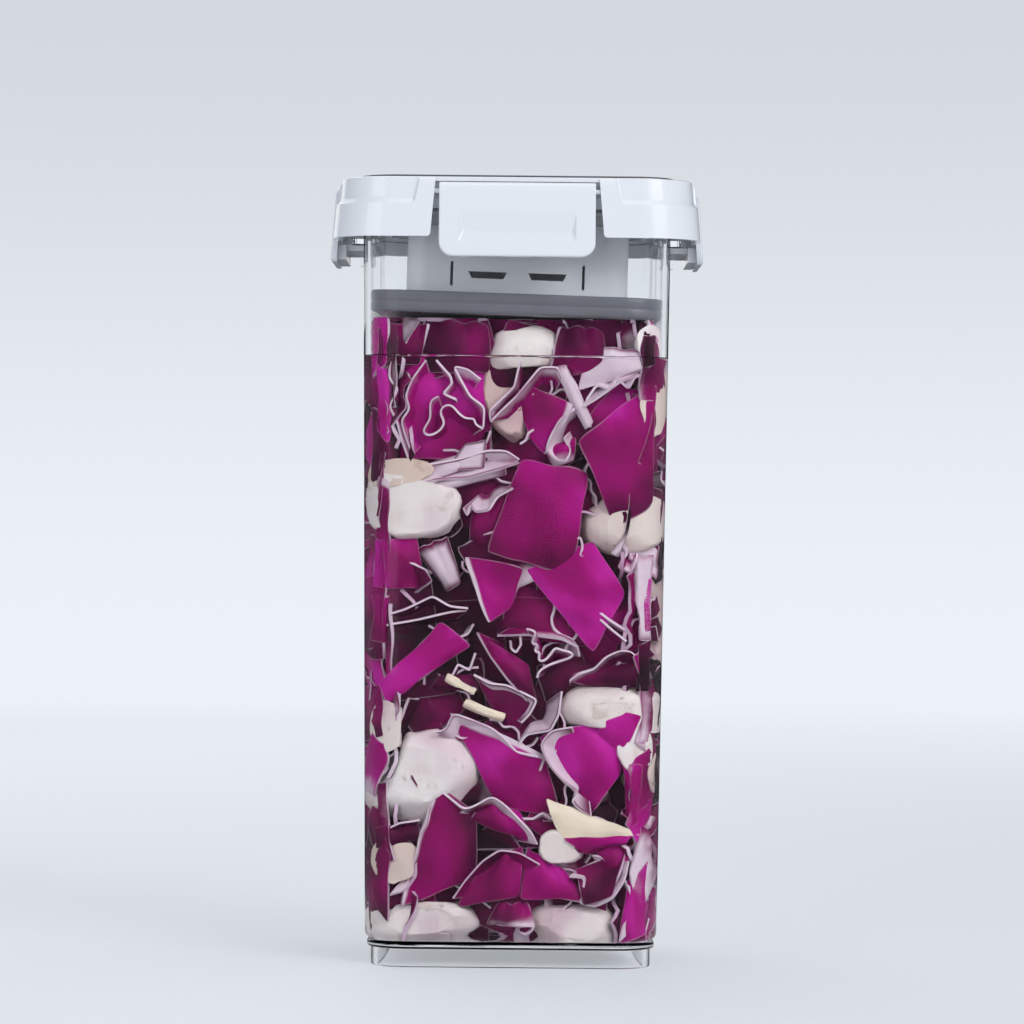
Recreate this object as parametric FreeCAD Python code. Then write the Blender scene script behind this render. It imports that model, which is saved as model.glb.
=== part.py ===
import FreeCAD, Part
import math
import os

# A clear fermentation container filled with vegetables in brine.  It has a lid held by four
# latches and, inside, a press lid that keeps the vegetables down.
# Millimetres, +Z up, origin on the table under the middle of the foot.  The plan is square and
# its four sides are alike; the side called the front faces -Y.

# ---- driving dimensions --------------------------------------------------------------------
# container
BODY_WIDTH = 107.0          # outside, flat to flat, at the top of the rim
BODY_HEIGHT = 260.7         # table to the top of the rim
BODY_DRAFT = 0.62           # degrees that each wall leans in towards the foot
BODY_CORNER = 15.0          # outside corner radius in plan
WALL = 2.2
FLOOR_UNDERSIDE = 6.4       # height of the foot ring
FLOOR_THICKNESS = 2.7
FOOT_INSET = 2.2            # foot ring inside the body's outline
FOOT_WALL = 2.2
BODY_BOTTOM_ROUND = 3.0     # outside round where the wall meets the floor
CAVITY_BOTTOM_ROUND = 2.5
BEAD_INSET = 0.8            # floor's edge bead inside the body's outline
BEAD_ROUND = 1.2
FOOT_ROUND = 0.65           # foot ring's lower edge
FLANGE_OVERHANG = 3.5
FLANGE_THICKNESS = 4.3
FLANGE_ROUND = 0.85
LEDGE_DROP = 7.3            # top of the rim to the top of each locking ledge
LEDGE_THICKNESS = 2.0
LEDGE_REACH = 4.6           # ledge out from the wall
LEDGE_LENGTH = 51.6
LEDGE_ROUND = 1.5           # ledge's outer corners
LEDGE_RIB_WIDTH = 3.2
LEDGE_RIB_REACH = 1.3
LEDGE_RIB_HEIGHT = 8.0

# lid
SEAL_BAND = 3.9             # height of seal that shows between rim and lid
SEAL_ROUND = 0.6
LID_RISE = 8.2              # lid above that band
SKIRT_DEPTH = 12.5          # corner skirts below the top of that band
SKIRT_WALL = 2.0
SKIRT_GAP = 4.6             # air between the rim's flange and the skirts
SKIRT_LEAN = 5.0            # degrees
LID_CORNER = 20.0           # corner radius at the skirts' lower edge
LID_TOP_ROUND = 3.0
SKIRT_END_ROUND = 1.2       # lower corners of the skirts, at the notches
LID_SKIN = 2.4
CHANNEL_WALL = 2.2          # outer wall of the seal's channel
CHANNEL_DEPTH = 3.0
CHANNEL_OVERHANG = 0.8      # channel's outer wall past the flange
PLUG_GAP = 2.1              # air between the container's mouth and the lid's plug
PLUG_WALL = 2.2
PLUG_DEPTH = 7.1            # plug below the top of the seal's band
PANEL_SETBACK = 7.3         # top panel inside the lid's upper edge
PANEL_THICKNESS = 1.9
PANEL_POCKET = 0.9
PANEL_CORNER = 14.0
PANEL_ROUND = 0.75
RECESS_DEPTH = 1.3          # stepped panels of the corners
RECESS_LEDGE_HEIGHT = 2.0
RECESS_LEDGE_DROP = 1.3     # foot of that ledge below the top of the seal's band
RECESS_START_TOP = 33.4     # from the middle of the side to the step, at the lid's top
RECESS_START_FOOT = 35.4    # and at the ledge
RECESS_ROUND = 1.2

# latches
LATCH_WIDTH = 53.8
LATCH_THICKNESS = 2.2
LATCH_LEAN = 4.25           # degrees
LATCH_TAIL = 4.2            # plate below its hook
LATCH_CORNER = 5.0
LATCH_EDGE_ROUND = 0.9
LATCH_TOP_GAP = 0.3         # under the lid's lip
BARREL_RADIUS = 3.1
BARREL_ROUND = 0.45
PIN_RADIUS = 0.8
PIN_LENGTH = 3.6
PIN_COVER = 0.55            # skirt left outside the pin's hole
LIP_THICKNESS = 1.6
LIP_SETBACK = 0.4           # end of the lip inside the hinge axis
NOTCH_GAP_TOP = 1.2         # between latch and skirt at the lid's top
NOTCH_GAP_FOOT = 3.0        # and at the skirts' lower edge
HOOK_THICKNESS = 1.9
HOOK_LENGTH = 42.0
HOOK_BLOCK_GAP = 2.0        # latch's inner block out from the ledge
GRIP_WIDTH = 40.5           # finger recess in the latch's face
GRIP_HEIGHT = 11.2
GRIP_DEPTH = 1.5
GRIP_RISE = 5.0             # lower edge of the recess above the plate's lower edge
GRIP_SLOPE_HEIGHT = 4.0     # height of its lower slope
GRIP_END_SLOPE = 1.6
GRIP_ROUND = 1.5
GRIP_PAD = 1.5              # plate's backing behind the recess

# press lid
PRESS_DEPTH = 27.4          # rim's top down to the top of its seal
PRESS_SEAL_HEIGHT = 7.4
PRESS_TILT = 1.5            # degrees, lower on the +X side
PAN_SETBACK = 2.6           # pan's edge inside the cavity
PAN_WALL = 2.0
PAN_BEAD = 0.8              # seal's bead in the pan's edge
PAN_BEAD_HEIGHT = 1.6
PRESS_LIP = 1.6             # thickness of each seal lip
PRESS_WEB = 1.1
FRAME_SETBACK = 12.6        # box frame inside the container's mouth
FRAME_WALL = 2.0
FRAME_CORNER = 7.0
FRAME_BELOW_RIM = 2.2
SLOT_WIDTH = 13.4           # level slots in the frame
SLOT_HEIGHT = 2.4
SLOT_CENTRE = 10.4
SLOT_BELOW_RIM = 20.9
SLIT_HEIGHT = 8.4           # upright slits in the frame
SLIT_WIDTH = 1.0
SLIT_CENTRE = 22.9
SLIT_BELOW_RIM = 20.7

# contents
HEADSPACE = 14.3            # under the press lid's seal, down to the brine
HEAP_LUMPS = 4              # lumps of vegetable along each side
HEAP_RISE = 12.5            # heap above the brine, at most
LUMP_HEIGHT = 7.75          # a lump's height above the brine, and how far it varies
LUMP_HEIGHT_VARIES = 3.75
LUMP_OVERLAP = 1.12         # a lump's width over the space between lumps
LUMP_WIDTH_VARIES = 0.1
LUMP_TURN = 37              # degrees from one lump to the next
LUMP_TILT = 9.0             # degrees
MUSHROOM_WIDTH = 24.0
MUSHROOM_CAP = 8.0
MUSHROOM_STEM = 4.0         # radius
MUSHROOM_TILT = 9.0         # degrees
MUSHROOM_OFFSET = 2.0       # to the right of the middle

# clearances
SLIDING_GAP = 0.3           # hinges, hooks
SEAT_GAP = 0.1              # fixed pieces side by side
CONTENT_GAP = 0.1           # contents to wall
PRESS_SEAL_GAP = 0.3        # press lid's seal to wall
PIN_GAP = 0.2               # hinge pin to its hole

# ---- places that follow from them ----------------------------------------------------------
SIDES = {"front": 0, "right": 90, "back": 180, "left": 270}
TOLERANCE = 1e-4

FLOOR_TOP = FLOOR_UNDERSIDE + FLOOR_THICKNESS
LEDGE_TOP = BODY_HEIGHT - LEDGE_DROP
LEDGE_UNDERSIDE = LEDGE_TOP - LEDGE_THICKNESS
FLANGE_HALF = BODY_WIDTH / 2 + FLANGE_OVERHANG
FLANGE_CORNER = BODY_CORNER + FLANGE_OVERHANG
MOUTH_HALF = BODY_WIDTH / 2 - WALL
MOUTH_CORNER = BODY_CORNER - WALL

LID_SEAT = BODY_HEIGHT + SEAL_BAND
LID_TOP = LID_SEAT + LID_RISE
SKIRT_FOOT = LID_SEAT - SKIRT_DEPTH
SKIRT_FOOT_HALF = FLANGE_HALF + SKIRT_GAP + SKIRT_WALL
SKIRT_CEILING = LID_SEAT - RECESS_LEDGE_DROP - RECESS_DEPTH
CHANNEL_HALF = FLANGE_HALF + CHANNEL_OVERHANG
GROOVE_OUTER_HALF = CHANNEL_HALF - CHANNEL_WALL
GROOVE_INNER_HALF = MOUTH_HALF - PLUG_GAP
PLUG_INNER_HALF = GROOVE_INNER_HALF - PLUG_WALL

LIP_UNDERSIDE = LID_TOP - LIP_THICKNESS
HINGE_HEIGHT = LIP_UNDERSIDE - LATCH_TOP_GAP - BARREL_RADIUS
PIN_HOLE_RADIUS = PIN_RADIUS + PIN_GAP
HOOK_TOP = LEDGE_UNDERSIDE - SLIDING_GAP
HOOK_UNDERSIDE = HOOK_TOP - HOOK_THICKNESS
LATCH_FOOT = HOOK_UNDERSIDE - LATCH_TAIL

PRESS_SEAL_TOP = BODY_HEIGHT - PRESS_DEPTH
PRESS_SEAL_FOOT = PRESS_SEAL_TOP - PRESS_SEAL_HEIGHT
PRESS_MIDDLE = (PRESS_SEAL_TOP + PRESS_SEAL_FOOT) / 2
FRAME_HALF = MOUTH_HALF - FRAME_SETBACK
FRAME_TOP = BODY_HEIGHT - FRAME_BELOW_RIM

BRINE_LEVEL = PRESS_SEAL_FOOT - HEADSPACE


def outer_half(z):
    """Half the container's outside width at height z."""
    return BODY_WIDTH / 2 - (BODY_HEIGHT - z) * math.tan(math.radians(BODY_DRAFT))


def inner_half(z):
    """Half the cavity's width at height z."""
    return outer_half(z) - WALL


def skirt_half(z):
    """Half the lid's outside width at height z."""
    return SKIRT_FOOT_HALF - (z - SKIRT_FOOT) * math.tan(math.radians(SKIRT_LEAN))


HINGE_OUT = skirt_half(HINGE_HEIGHT) - PIN_COVER - PIN_HOLE_RADIUS


# ---- shapes in plan ------------------------------------------------------------------------
def rounded_square(half, corner, z):
    """Closed wire of a square with round corners, level at height z."""
    edges = []
    flat = half - corner
    diagonal = flat + corner * math.sqrt(0.5)
    for quarter in range(4):
        turn = FreeCAD.Rotation(FreeCAD.Vector(0, 0, 1), 90 * quarter)
        start, end, middle, stop = [
            turn.multVec(FreeCAD.Vector(x, y, z))
            for x, y in ((-flat, -half), (flat, -half), (diagonal, -diagonal), (half, -flat))
        ]
        edges.append(Part.LineSegment(start, end).toShape())
        edges.append(Part.Arc(end, middle, stop).toShape())
    return Part.Wire(edges)


def block(half, corner, z_low, z_high):
    """Upright block on a rounded square."""
    face = Part.Face(rounded_square(half, corner, z_low))
    return face.extrude(FreeCAD.Vector(0, 0, z_high - z_low))


def taper(half_low, half_high, corner_low, corner_high, z_low, z_high):
    """Block that widens or narrows upwards."""
    low = rounded_square(half_low, corner_low, z_low)
    high = rounded_square(half_high, corner_high, z_high)
    return Part.makeLoft([low, high], True, True)


def cavity_block(gap, z_low, z_high):
    """Block that fills the container's cavity from z_low to z_high, a gap clear of its walls."""
    corner = MOUTH_CORNER - gap
    return taper(inner_half(z_low) - gap, inner_half(z_high) - gap, corner, corner, z_low, z_high)


def box(x_low, x_high, out_low, out_high, z_low, z_high):
    """Box on the front side; `out` is the distance from the middle towards the front."""
    corner = FreeCAD.Vector(x_low, -out_high, z_low)
    return Part.makeBox(x_high - x_low, out_high - out_low, z_high - z_low, corner)


def on_side(shape, degrees):
    """The front side's shape, turned about the upright axis to another side."""
    turned = shape.copy()
    turned.rotate(FreeCAD.Vector(0, 0, 0), FreeCAD.Vector(0, 0, 1), degrees)
    return turned


def on_all_sides(shape):
    return [on_side(shape, degrees) for degrees in SIDES.values()]


def is_level(edge, z):
    """True for an edge that lies flat at height z."""
    return abs(edge.BoundBox.ZMin - z) < TOLERANCE and abs(edge.BoundBox.ZMax - z) < TOLERANCE


def level_edges(shape, z):
    return [edge for edge in shape.Edges if is_level(edge, z)]


def face_edges(shape, out):
    """Edges in the upright plane that far out on the front side."""
    return [
        edge for edge in shape.Edges
        if abs(edge.BoundBox.YMin + out) < TOLERANCE and abs(edge.BoundBox.YMax + out) < TOLERANCE
    ]


def solid_from_corners(corners, faces):
    """Solid with flat faces; each face lists its corners by number."""
    sides = []
    for face in faces:
        points = [FreeCAD.Vector(*corners[number]) for number in face]
        sides.append(Part.Face(Part.makePolygon(points + points[:1])))
    return Part.makeSolid(Part.makeShell(sides))


# ---- container -----------------------------------------------------------------------------
def locking_ledge():
    """Ledge on the front wall that the latch hooks under, with a rib at each end."""
    wall = outer_half(LEDGE_TOP)
    root = wall - WALL / 2
    reach = wall + LEDGE_REACH
    ledge = box(-LEDGE_LENGTH / 2, LEDGE_LENGTH / 2, root, reach, LEDGE_UNDERSIDE, LEDGE_TOP)
    ends = [edge for edge in face_edges(ledge, reach) if edge.BoundBox.XLength < TOLERANCE]
    ledge = ledge.makeFillet(LEDGE_ROUND, ends)
    for side in (-1, 1):
        near = side * (LEDGE_LENGTH / 2 - LEDGE_RIB_WIDTH)
        far = side * LEDGE_LENGTH / 2
        ledge = ledge.fuse(box(min(near, far), max(near, far), root, wall + LEDGE_RIB_REACH,
                               LEDGE_UNDERSIDE - LEDGE_RIB_HEIGHT, LEDGE_UNDERSIDE))
    return ledge


def container():
    wall = taper(outer_half(FLOOR_TOP), outer_half(BODY_HEIGHT), BODY_CORNER, BODY_CORNER,
                 FLOOR_TOP, BODY_HEIGHT)
    wall = wall.makeFillet(BODY_BOTTOM_ROUND, level_edges(wall, FLOOR_TOP))
    bead = block(outer_half(FLOOR_TOP) - BEAD_INSET, BODY_CORNER - BEAD_INSET,
                 FLOOR_UNDERSIDE, FLOOR_TOP)
    rounded = level_edges(bead, FLOOR_UNDERSIDE) + level_edges(bead, FLOOR_TOP)
    bead = bead.makeFillet(BEAD_ROUND, rounded)
    foot = block(outer_half(FLOOR_TOP) - FOOT_INSET, BODY_CORNER - FOOT_INSET, 0,
                 FLOOR_UNDERSIDE + FLOOR_THICKNESS / 2)
    foot = foot.makeFillet(FOOT_ROUND, level_edges(foot, 0))
    flange = block(FLANGE_HALF, FLANGE_CORNER, BODY_HEIGHT - FLANGE_THICKNESS, BODY_HEIGHT)
    rounded = level_edges(flange, BODY_HEIGHT - FLANGE_THICKNESS) + level_edges(flange, BODY_HEIGHT)
    flange = flange.makeFillet(FLANGE_ROUND, rounded)
    shape = wall.fuse([bead, foot, flange] + on_all_sides(locking_ledge()))

    cavity = cavity_block(0, FLOOR_TOP, BODY_HEIGHT)
    cavity = cavity.makeFillet(CAVITY_BOTTOM_ROUND, level_edges(cavity, FLOOR_TOP))
    hollow_foot = block(outer_half(FLOOR_TOP) - FOOT_INSET - FOOT_WALL,
                        BODY_CORNER - FOOT_INSET - FOOT_WALL, 0, FLOOR_UNDERSIDE)
    return shape.cut([cavity, hollow_foot])


# ---- lid -----------------------------------------------------------------------------------
def is_at_start(edge):
    """True for an edge on either step, where a corner recess begins."""
    nearest = min(abs(edge.BoundBox.XMin), abs(edge.BoundBox.YMax))
    return nearest < RECESS_START_FOOT


def corner_recess():
    """What is cut from one corner of the lid to leave its stepped panel."""
    ledge_foot = LID_SEAT - RECESS_LEDGE_DROP
    ledge_top = ledge_foot + RECESS_LEDGE_HEIGHT
    inset_corner = LID_CORNER - RECESS_DEPTH
    core = taper(skirt_half(ledge_foot) + SEAT_GAP, skirt_half(ledge_top) - RECESS_DEPTH,
                 LID_CORNER, inset_corner, ledge_foot, ledge_top)
    core = core.fuse(taper(skirt_half(ledge_top) - RECESS_DEPTH, skirt_half(LID_TOP) - RECESS_DEPTH,
                           inset_corner, inset_corner, ledge_top, LID_TOP))
    far = 2 * SKIRT_FOOT_HALF
    ends = []
    for start, z in ((RECESS_START_FOOT, ledge_foot), (RECESS_START_TOP, LID_TOP)):
        points = [(start, -start), (far, -start), (far, -far), (start, -far), (start, -start)]
        ends.append(Part.makePolygon([FreeCAD.Vector(x, y, z) for x, y in points]))
    recess = Part.makeLoft(ends, True, True).cut(core)
    limit = far / 2 + PANEL_SETBACK
    rounded = [
        edge for edge in recess.Edges
        if edge.BoundBox.XMax < limit and edge.BoundBox.YMin > -limit
        and (edge.BoundBox.ZLength > RECESS_DEPTH and is_at_start(edge) or is_level(edge, ledge_top))
    ]
    return recess.makeFillet(RECESS_ROUND, rounded)


def latch_notch():
    """What is cut from one side of the lid to make room for its latch."""
    half_top = LATCH_WIDTH / 2 + NOTCH_GAP_TOP
    half_foot = LATCH_WIDTH / 2 + NOTCH_GAP_FOOT
    far = 2 * SKIRT_FOOT_HALF
    points = [(-half_foot, SKIRT_FOOT), (half_foot, SKIRT_FOOT), (half_top, LID_TOP),
              (-half_top, LID_TOP), (-half_foot, SKIRT_FOOT)]
    outline = Part.makePolygon([FreeCAD.Vector(x, -far, z) for x, z in points])
    outline = Part.Face(outline)
    under_lip = outline.extrude(FreeCAD.Vector(0, far - CHANNEL_HALF - SLIDING_GAP, 0))
    under_lip = under_lip.cut(box(-far, far, 0, far, LIP_UNDERSIDE, LID_TOP))
    before_lip = outline.extrude(FreeCAD.Vector(0, far - HINGE_OUT + LIP_SETBACK, 0))
    barrel_room = Part.makeCylinder(BARREL_RADIUS + SLIDING_GAP, LATCH_WIDTH + 2 * NOTCH_GAP_TOP,
                                    FreeCAD.Vector(-half_top, -HINGE_OUT, HINGE_HEIGHT),
                                    FreeCAD.Vector(1, 0, 0))
    pin_reach = LATCH_WIDTH / 2 + PIN_LENGTH + SLIDING_GAP
    pin_holes = Part.makeCylinder(PIN_HOLE_RADIUS, 2 * pin_reach,
                                  FreeCAD.Vector(-pin_reach, -HINGE_OUT, HINGE_HEIGHT),
                                  FreeCAD.Vector(1, 0, 0))
    return under_lip.fuse([before_lip, barrel_room, pin_holes])


def lid():
    shape = taper(skirt_half(SKIRT_FOOT), skirt_half(LID_TOP), LID_CORNER, LID_CORNER,
                  SKIRT_FOOT, LID_TOP)
    shape = shape.makeFillet(LID_TOP_ROUND, level_edges(shape, LID_TOP))
    inside_corner = LID_CORNER - SKIRT_WALL
    under_skirt = taper(skirt_half(SKIRT_FOOT) - SKIRT_WALL, skirt_half(SKIRT_CEILING) - SKIRT_WALL,
                        inside_corner, inside_corner, SKIRT_FOOT, SKIRT_CEILING)
    channel_corner = FLANGE_CORNER + CHANNEL_OVERHANG
    over_flange = block(CHANNEL_HALF, channel_corner, SKIRT_CEILING, LID_SEAT)
    groove_corner = channel_corner - CHANNEL_WALL
    groove = block(GROOVE_OUTER_HALF, groove_corner, LID_SEAT, LID_SEAT + CHANNEL_DEPTH)
    plug_corner = MOUTH_CORNER - PLUG_GAP
    plug = block(GROOVE_INNER_HALF, plug_corner, LID_SEAT - PLUG_DEPTH, LID_TOP - LID_SKIN)
    inside_plug = block(PLUG_INNER_HALF, plug_corner - PLUG_WALL, LID_SEAT - PLUG_DEPTH,
                        LID_TOP - LID_SKIN)
    pocket = block(panel_half() + SEAT_GAP, PANEL_CORNER + SEAT_GAP, LID_TOP - PANEL_POCKET, LID_TOP)
    shape = shape.cut([under_skirt, over_flange, groove, pocket])
    shape = shape.fuse(plug).cut(inside_plug)
    shape = shape.cut(on_all_sides(corner_recess()) + on_all_sides(latch_notch()))
    shape = shape.removeSplitter()
    notch_half = LATCH_WIDTH / 2 + NOTCH_GAP_FOOT
    ends = [
        edge for edge in level_edges(shape, SKIRT_FOOT)
        if abs(min(abs(edge.Vertexes[0].X), abs(edge.Vertexes[0].Y)) - notch_half) < TOLERANCE
        and abs(edge.Length - SKIRT_WALL) < TOLERANCE
    ]
    return shape.makeFillet(SKIRT_END_ROUND, ends)


def lid_seal():
    """Ring pressed between lid and rim: a part in the lid's channel and a lip that shows."""
    groove_corner = FLANGE_CORNER + CHANNEL_OVERHANG - CHANNEL_WALL
    lip_half = FLANGE_HALF - SEAT_GAP
    inner_half_width = GROOVE_INNER_HALF + SEAT_GAP
    ring = block(GROOVE_OUTER_HALF - SEAT_GAP, groove_corner - SEAT_GAP, BODY_HEIGHT,
                 LID_SEAT + CHANNEL_DEPTH)
    lip = block(lip_half, FLANGE_CORNER - SEAT_GAP, BODY_HEIGHT, LID_SEAT)
    lip = lip.makeFillet(SEAL_ROUND, level_edges(lip, BODY_HEIGHT))
    inside = block(inner_half_width, MOUTH_CORNER - PLUG_GAP + SEAT_GAP, BODY_HEIGHT,
                   LID_SEAT + CHANNEL_DEPTH)
    return ring.fuse(lip).cut(inside).removeSplitter()


def panel_half():
    return skirt_half(LID_TOP) - PANEL_SETBACK


def top_panel():
    z_low = LID_TOP - PANEL_POCKET
    z_high = z_low + PANEL_THICKNESS
    panel = block(panel_half(), PANEL_CORNER, z_low, z_high)
    return panel.makeFillet(PANEL_ROUND, level_edges(panel, z_high))


# ---- latches -------------------------------------------------------------------------------
def grip_recess(face_out, foot):
    """Wedge cut from the latch's upright face, deepest along a level line near its foot."""
    low = foot + GRIP_RISE
    high = low + GRIP_HEIGHT
    deep = low + GRIP_SLOPE_HEIGHT
    half = GRIP_WIDTH / 2
    half_deep = half - GRIP_END_SLOPE
    surface = -face_out
    bottom = -(face_out - GRIP_DEPTH)
    corners = [(-half, surface, low), (half, surface, low), (half, surface, high),
               (-half, surface, high), (-half_deep, bottom, deep), (half_deep, bottom, deep)]
    faces = [(0, 1, 2, 3), (0, 4, 5, 1), (1, 5, 2), (2, 5, 4, 3), (3, 4, 0)]
    wedge = solid_from_corners(corners, faces)
    surface_edges = face_edges(wedge, face_out)
    inner_edges = [
        edge for edge in wedge.Edges
        if not any(edge.isSame(surface_edge) for surface_edge in surface_edges)
    ]
    return wedge.makeFillet(GRIP_ROUND, inner_edges)


def latch():
    """The front latch, closed."""
    half = LATCH_WIDTH / 2
    face_out = HINGE_OUT + BARREL_RADIUS
    foot = LATCH_FOOT
    plate = box(-half, half, face_out - LATCH_THICKNESS, face_out, foot, HINGE_HEIGHT)
    lower_corners = [edge for edge in level_edges(plate, foot) if edge.BoundBox.XLength < TOLERANCE]
    plate = plate.makeFillet(LATCH_CORNER, lower_corners)
    border = [edge for edge in face_edges(plate, face_out) if not is_level(edge, HINGE_HEIGHT)]
    plate = plate.makeFillet(LATCH_EDGE_ROUND, border)
    pad_half = GRIP_WIDTH / 2 + GRIP_END_SLOPE
    pad = box(-pad_half, pad_half, face_out - LATCH_THICKNESS - GRIP_PAD, face_out - GRIP_DEPTH,
              foot + GRIP_RISE, foot + GRIP_RISE + GRIP_HEIGHT)
    plate = plate.fuse(pad).cut(grip_recess(face_out, foot))
    plate.rotate(FreeCAD.Vector(0, -HINGE_OUT, HINGE_HEIGHT), FreeCAD.Vector(1, 0, 0), -LATCH_LEAN)

    along = FreeCAD.Vector(1, 0, 0)
    barrel = Part.makeCylinder(BARREL_RADIUS, LATCH_WIDTH,
                               FreeCAD.Vector(-half, -HINGE_OUT, HINGE_HEIGHT), along)
    ends = [edge for edge in barrel.Edges if edge.BoundBox.XLength < TOLERANCE]
    barrel = barrel.makeFillet(BARREL_ROUND, ends)
    pin_end = half + PIN_LENGTH
    pins = Part.makeCylinder(PIN_RADIUS, 2 * pin_end,
                             FreeCAD.Vector(-pin_end, -HINGE_OUT, HINGE_HEIGHT), along)
    ledge_end = outer_half(LEDGE_TOP) + LEDGE_REACH
    leaned_out = (HINGE_HEIGHT - HOOK_TOP) * math.sin(math.radians(LATCH_LEAN))
    plate_inside = face_out + leaned_out - LATCH_THICKNESS / 2
    hook_half = HOOK_LENGTH / 2
    hook = box(-hook_half, hook_half, outer_half(LEDGE_TOP) + SLIDING_GAP, plate_inside,
               HOOK_UNDERSIDE, HOOK_TOP)
    inner_block = box(-hook_half - LATCH_THICKNESS, hook_half + LATCH_THICKNESS,
                      ledge_end + HOOK_BLOCK_GAP, plate_inside, LATCH_FOOT + LATCH_TAIL / 4, HOOK_TOP)
    return plate.fuse([barrel, pins, hook, inner_block]).removeSplitter()


# ---- press lid -----------------------------------------------------------------------------
def tilted(shape):
    """The shape turned to the press lid's slight tilt."""
    shape = shape.copy()
    shape.rotate(FreeCAD.Vector(0, 0, PRESS_MIDDLE), FreeCAD.Vector(0, 1, 0), PRESS_TILT)
    return shape


def pan_half():
    return inner_half(PRESS_SEAL_FOOT) - PAN_SETBACK


def frame_openings():
    """Slots and slits cut through the front wall of the press lid's frame."""
    out_low = FRAME_HALF - 2 * FRAME_WALL
    out_high = FRAME_HALF + FRAME_WALL
    cuts = []
    for side in (-1, 1):
        slot_middle = side * SLOT_CENTRE
        z = BODY_HEIGHT - SLOT_BELOW_RIM
        slant = SLOT_HEIGHT / 2
        points = [(-SLOT_WIDTH / 2, z + SLOT_HEIGHT / 2), (SLOT_WIDTH / 2, z + SLOT_HEIGHT / 2),
                  (SLOT_WIDTH / 2 - slant, z - SLOT_HEIGHT / 2),
                  (-SLOT_WIDTH / 2 + slant, z - SLOT_HEIGHT / 2)]
        outline = [FreeCAD.Vector(slot_middle + x, -out_high, height) for x, height in points]
        slot = Part.Face(Part.makePolygon(outline + outline[:1]))
        cuts.append(slot.extrude(FreeCAD.Vector(0, out_high - out_low, 0)))
        slit_middle = side * SLIT_CENTRE
        z = BODY_HEIGHT - SLIT_BELOW_RIM
        cuts.append(box(slit_middle - SLIT_WIDTH / 2, slit_middle + SLIT_WIDTH / 2, out_low, out_high,
                        z - SLIT_HEIGHT / 2, z + SLIT_HEIGHT / 2))
    return cuts


def press_lid():
    """Shallow pan with a raised box frame."""
    pan_corner = MOUTH_CORNER - PAN_SETBACK
    floor_top = PRESS_SEAL_FOOT + PAN_WALL
    pan = block(pan_half(), pan_corner, PRESS_SEAL_FOOT, PRESS_SEAL_TOP - SEAT_GAP)
    hollow = block(pan_half() - PAN_WALL, pan_corner - PAN_WALL, floor_top, PRESS_SEAL_TOP)
    frame = block(FRAME_HALF, FRAME_CORNER, PRESS_SEAL_FOOT, FRAME_TOP)
    inside = block(FRAME_HALF - FRAME_WALL, FRAME_CORNER - FRAME_WALL, floor_top, FRAME_TOP)
    bead_low = PRESS_MIDDLE - PAN_BEAD_HEIGHT / 2
    bead_high = PRESS_MIDDLE + PAN_BEAD_HEIGHT / 2
    groove = block(2 * pan_half(), pan_corner, bead_low, bead_high)
    groove = groove.cut(block(pan_half() - PAN_BEAD, pan_corner - PAN_BEAD, bead_low, bead_high))
    shape = pan.cut(hollow).fuse(frame).cut(inside).cut(groove)
    for degrees in SIDES.values():
        shape = shape.cut([on_side(opening, degrees) for opening in frame_openings()])
    return tilted(shape.removeSplitter())


def press_seal():
    """Soft ring round the pan: a web with three lips, and a bead in the pan's groove."""
    pan_corner = MOUTH_CORNER - PAN_SETBACK
    web_half = pan_half() + PRESS_WEB
    ring = block(web_half, pan_corner + PRESS_WEB, PRESS_SEAL_FOOT, PRESS_SEAL_TOP)
    spacing = (PRESS_SEAL_HEIGHT - PRESS_LIP) / 2
    for number in range(3):
        z_low = PRESS_SEAL_FOOT + number * spacing
        lip = cavity_block(PRESS_SEAL_GAP, z_low, z_low + PRESS_LIP)
        ring = ring.fuse(lip)
    inside = block(pan_half() + SEAT_GAP / 2, pan_corner + SEAT_GAP / 2, PRESS_SEAL_FOOT, PRESS_SEAL_TOP)
    ring = ring.cut(inside)
    bead_low = PRESS_MIDDLE - PAN_BEAD_HEIGHT / 2 + SEAT_GAP
    bead_high = PRESS_MIDDLE + PAN_BEAD_HEIGHT / 2 - SEAT_GAP
    bead = block(pan_half() + PRESS_WEB / 2, pan_corner + PRESS_WEB / 2, bead_low, bead_high)
    bead_inside = block(pan_half() - PAN_BEAD + SEAT_GAP, pan_corner - PAN_BEAD + SEAT_GAP,
                        bead_low, bead_high)
    return tilted(ring.fuse(bead.cut(bead_inside)).removeSplitter())


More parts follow.
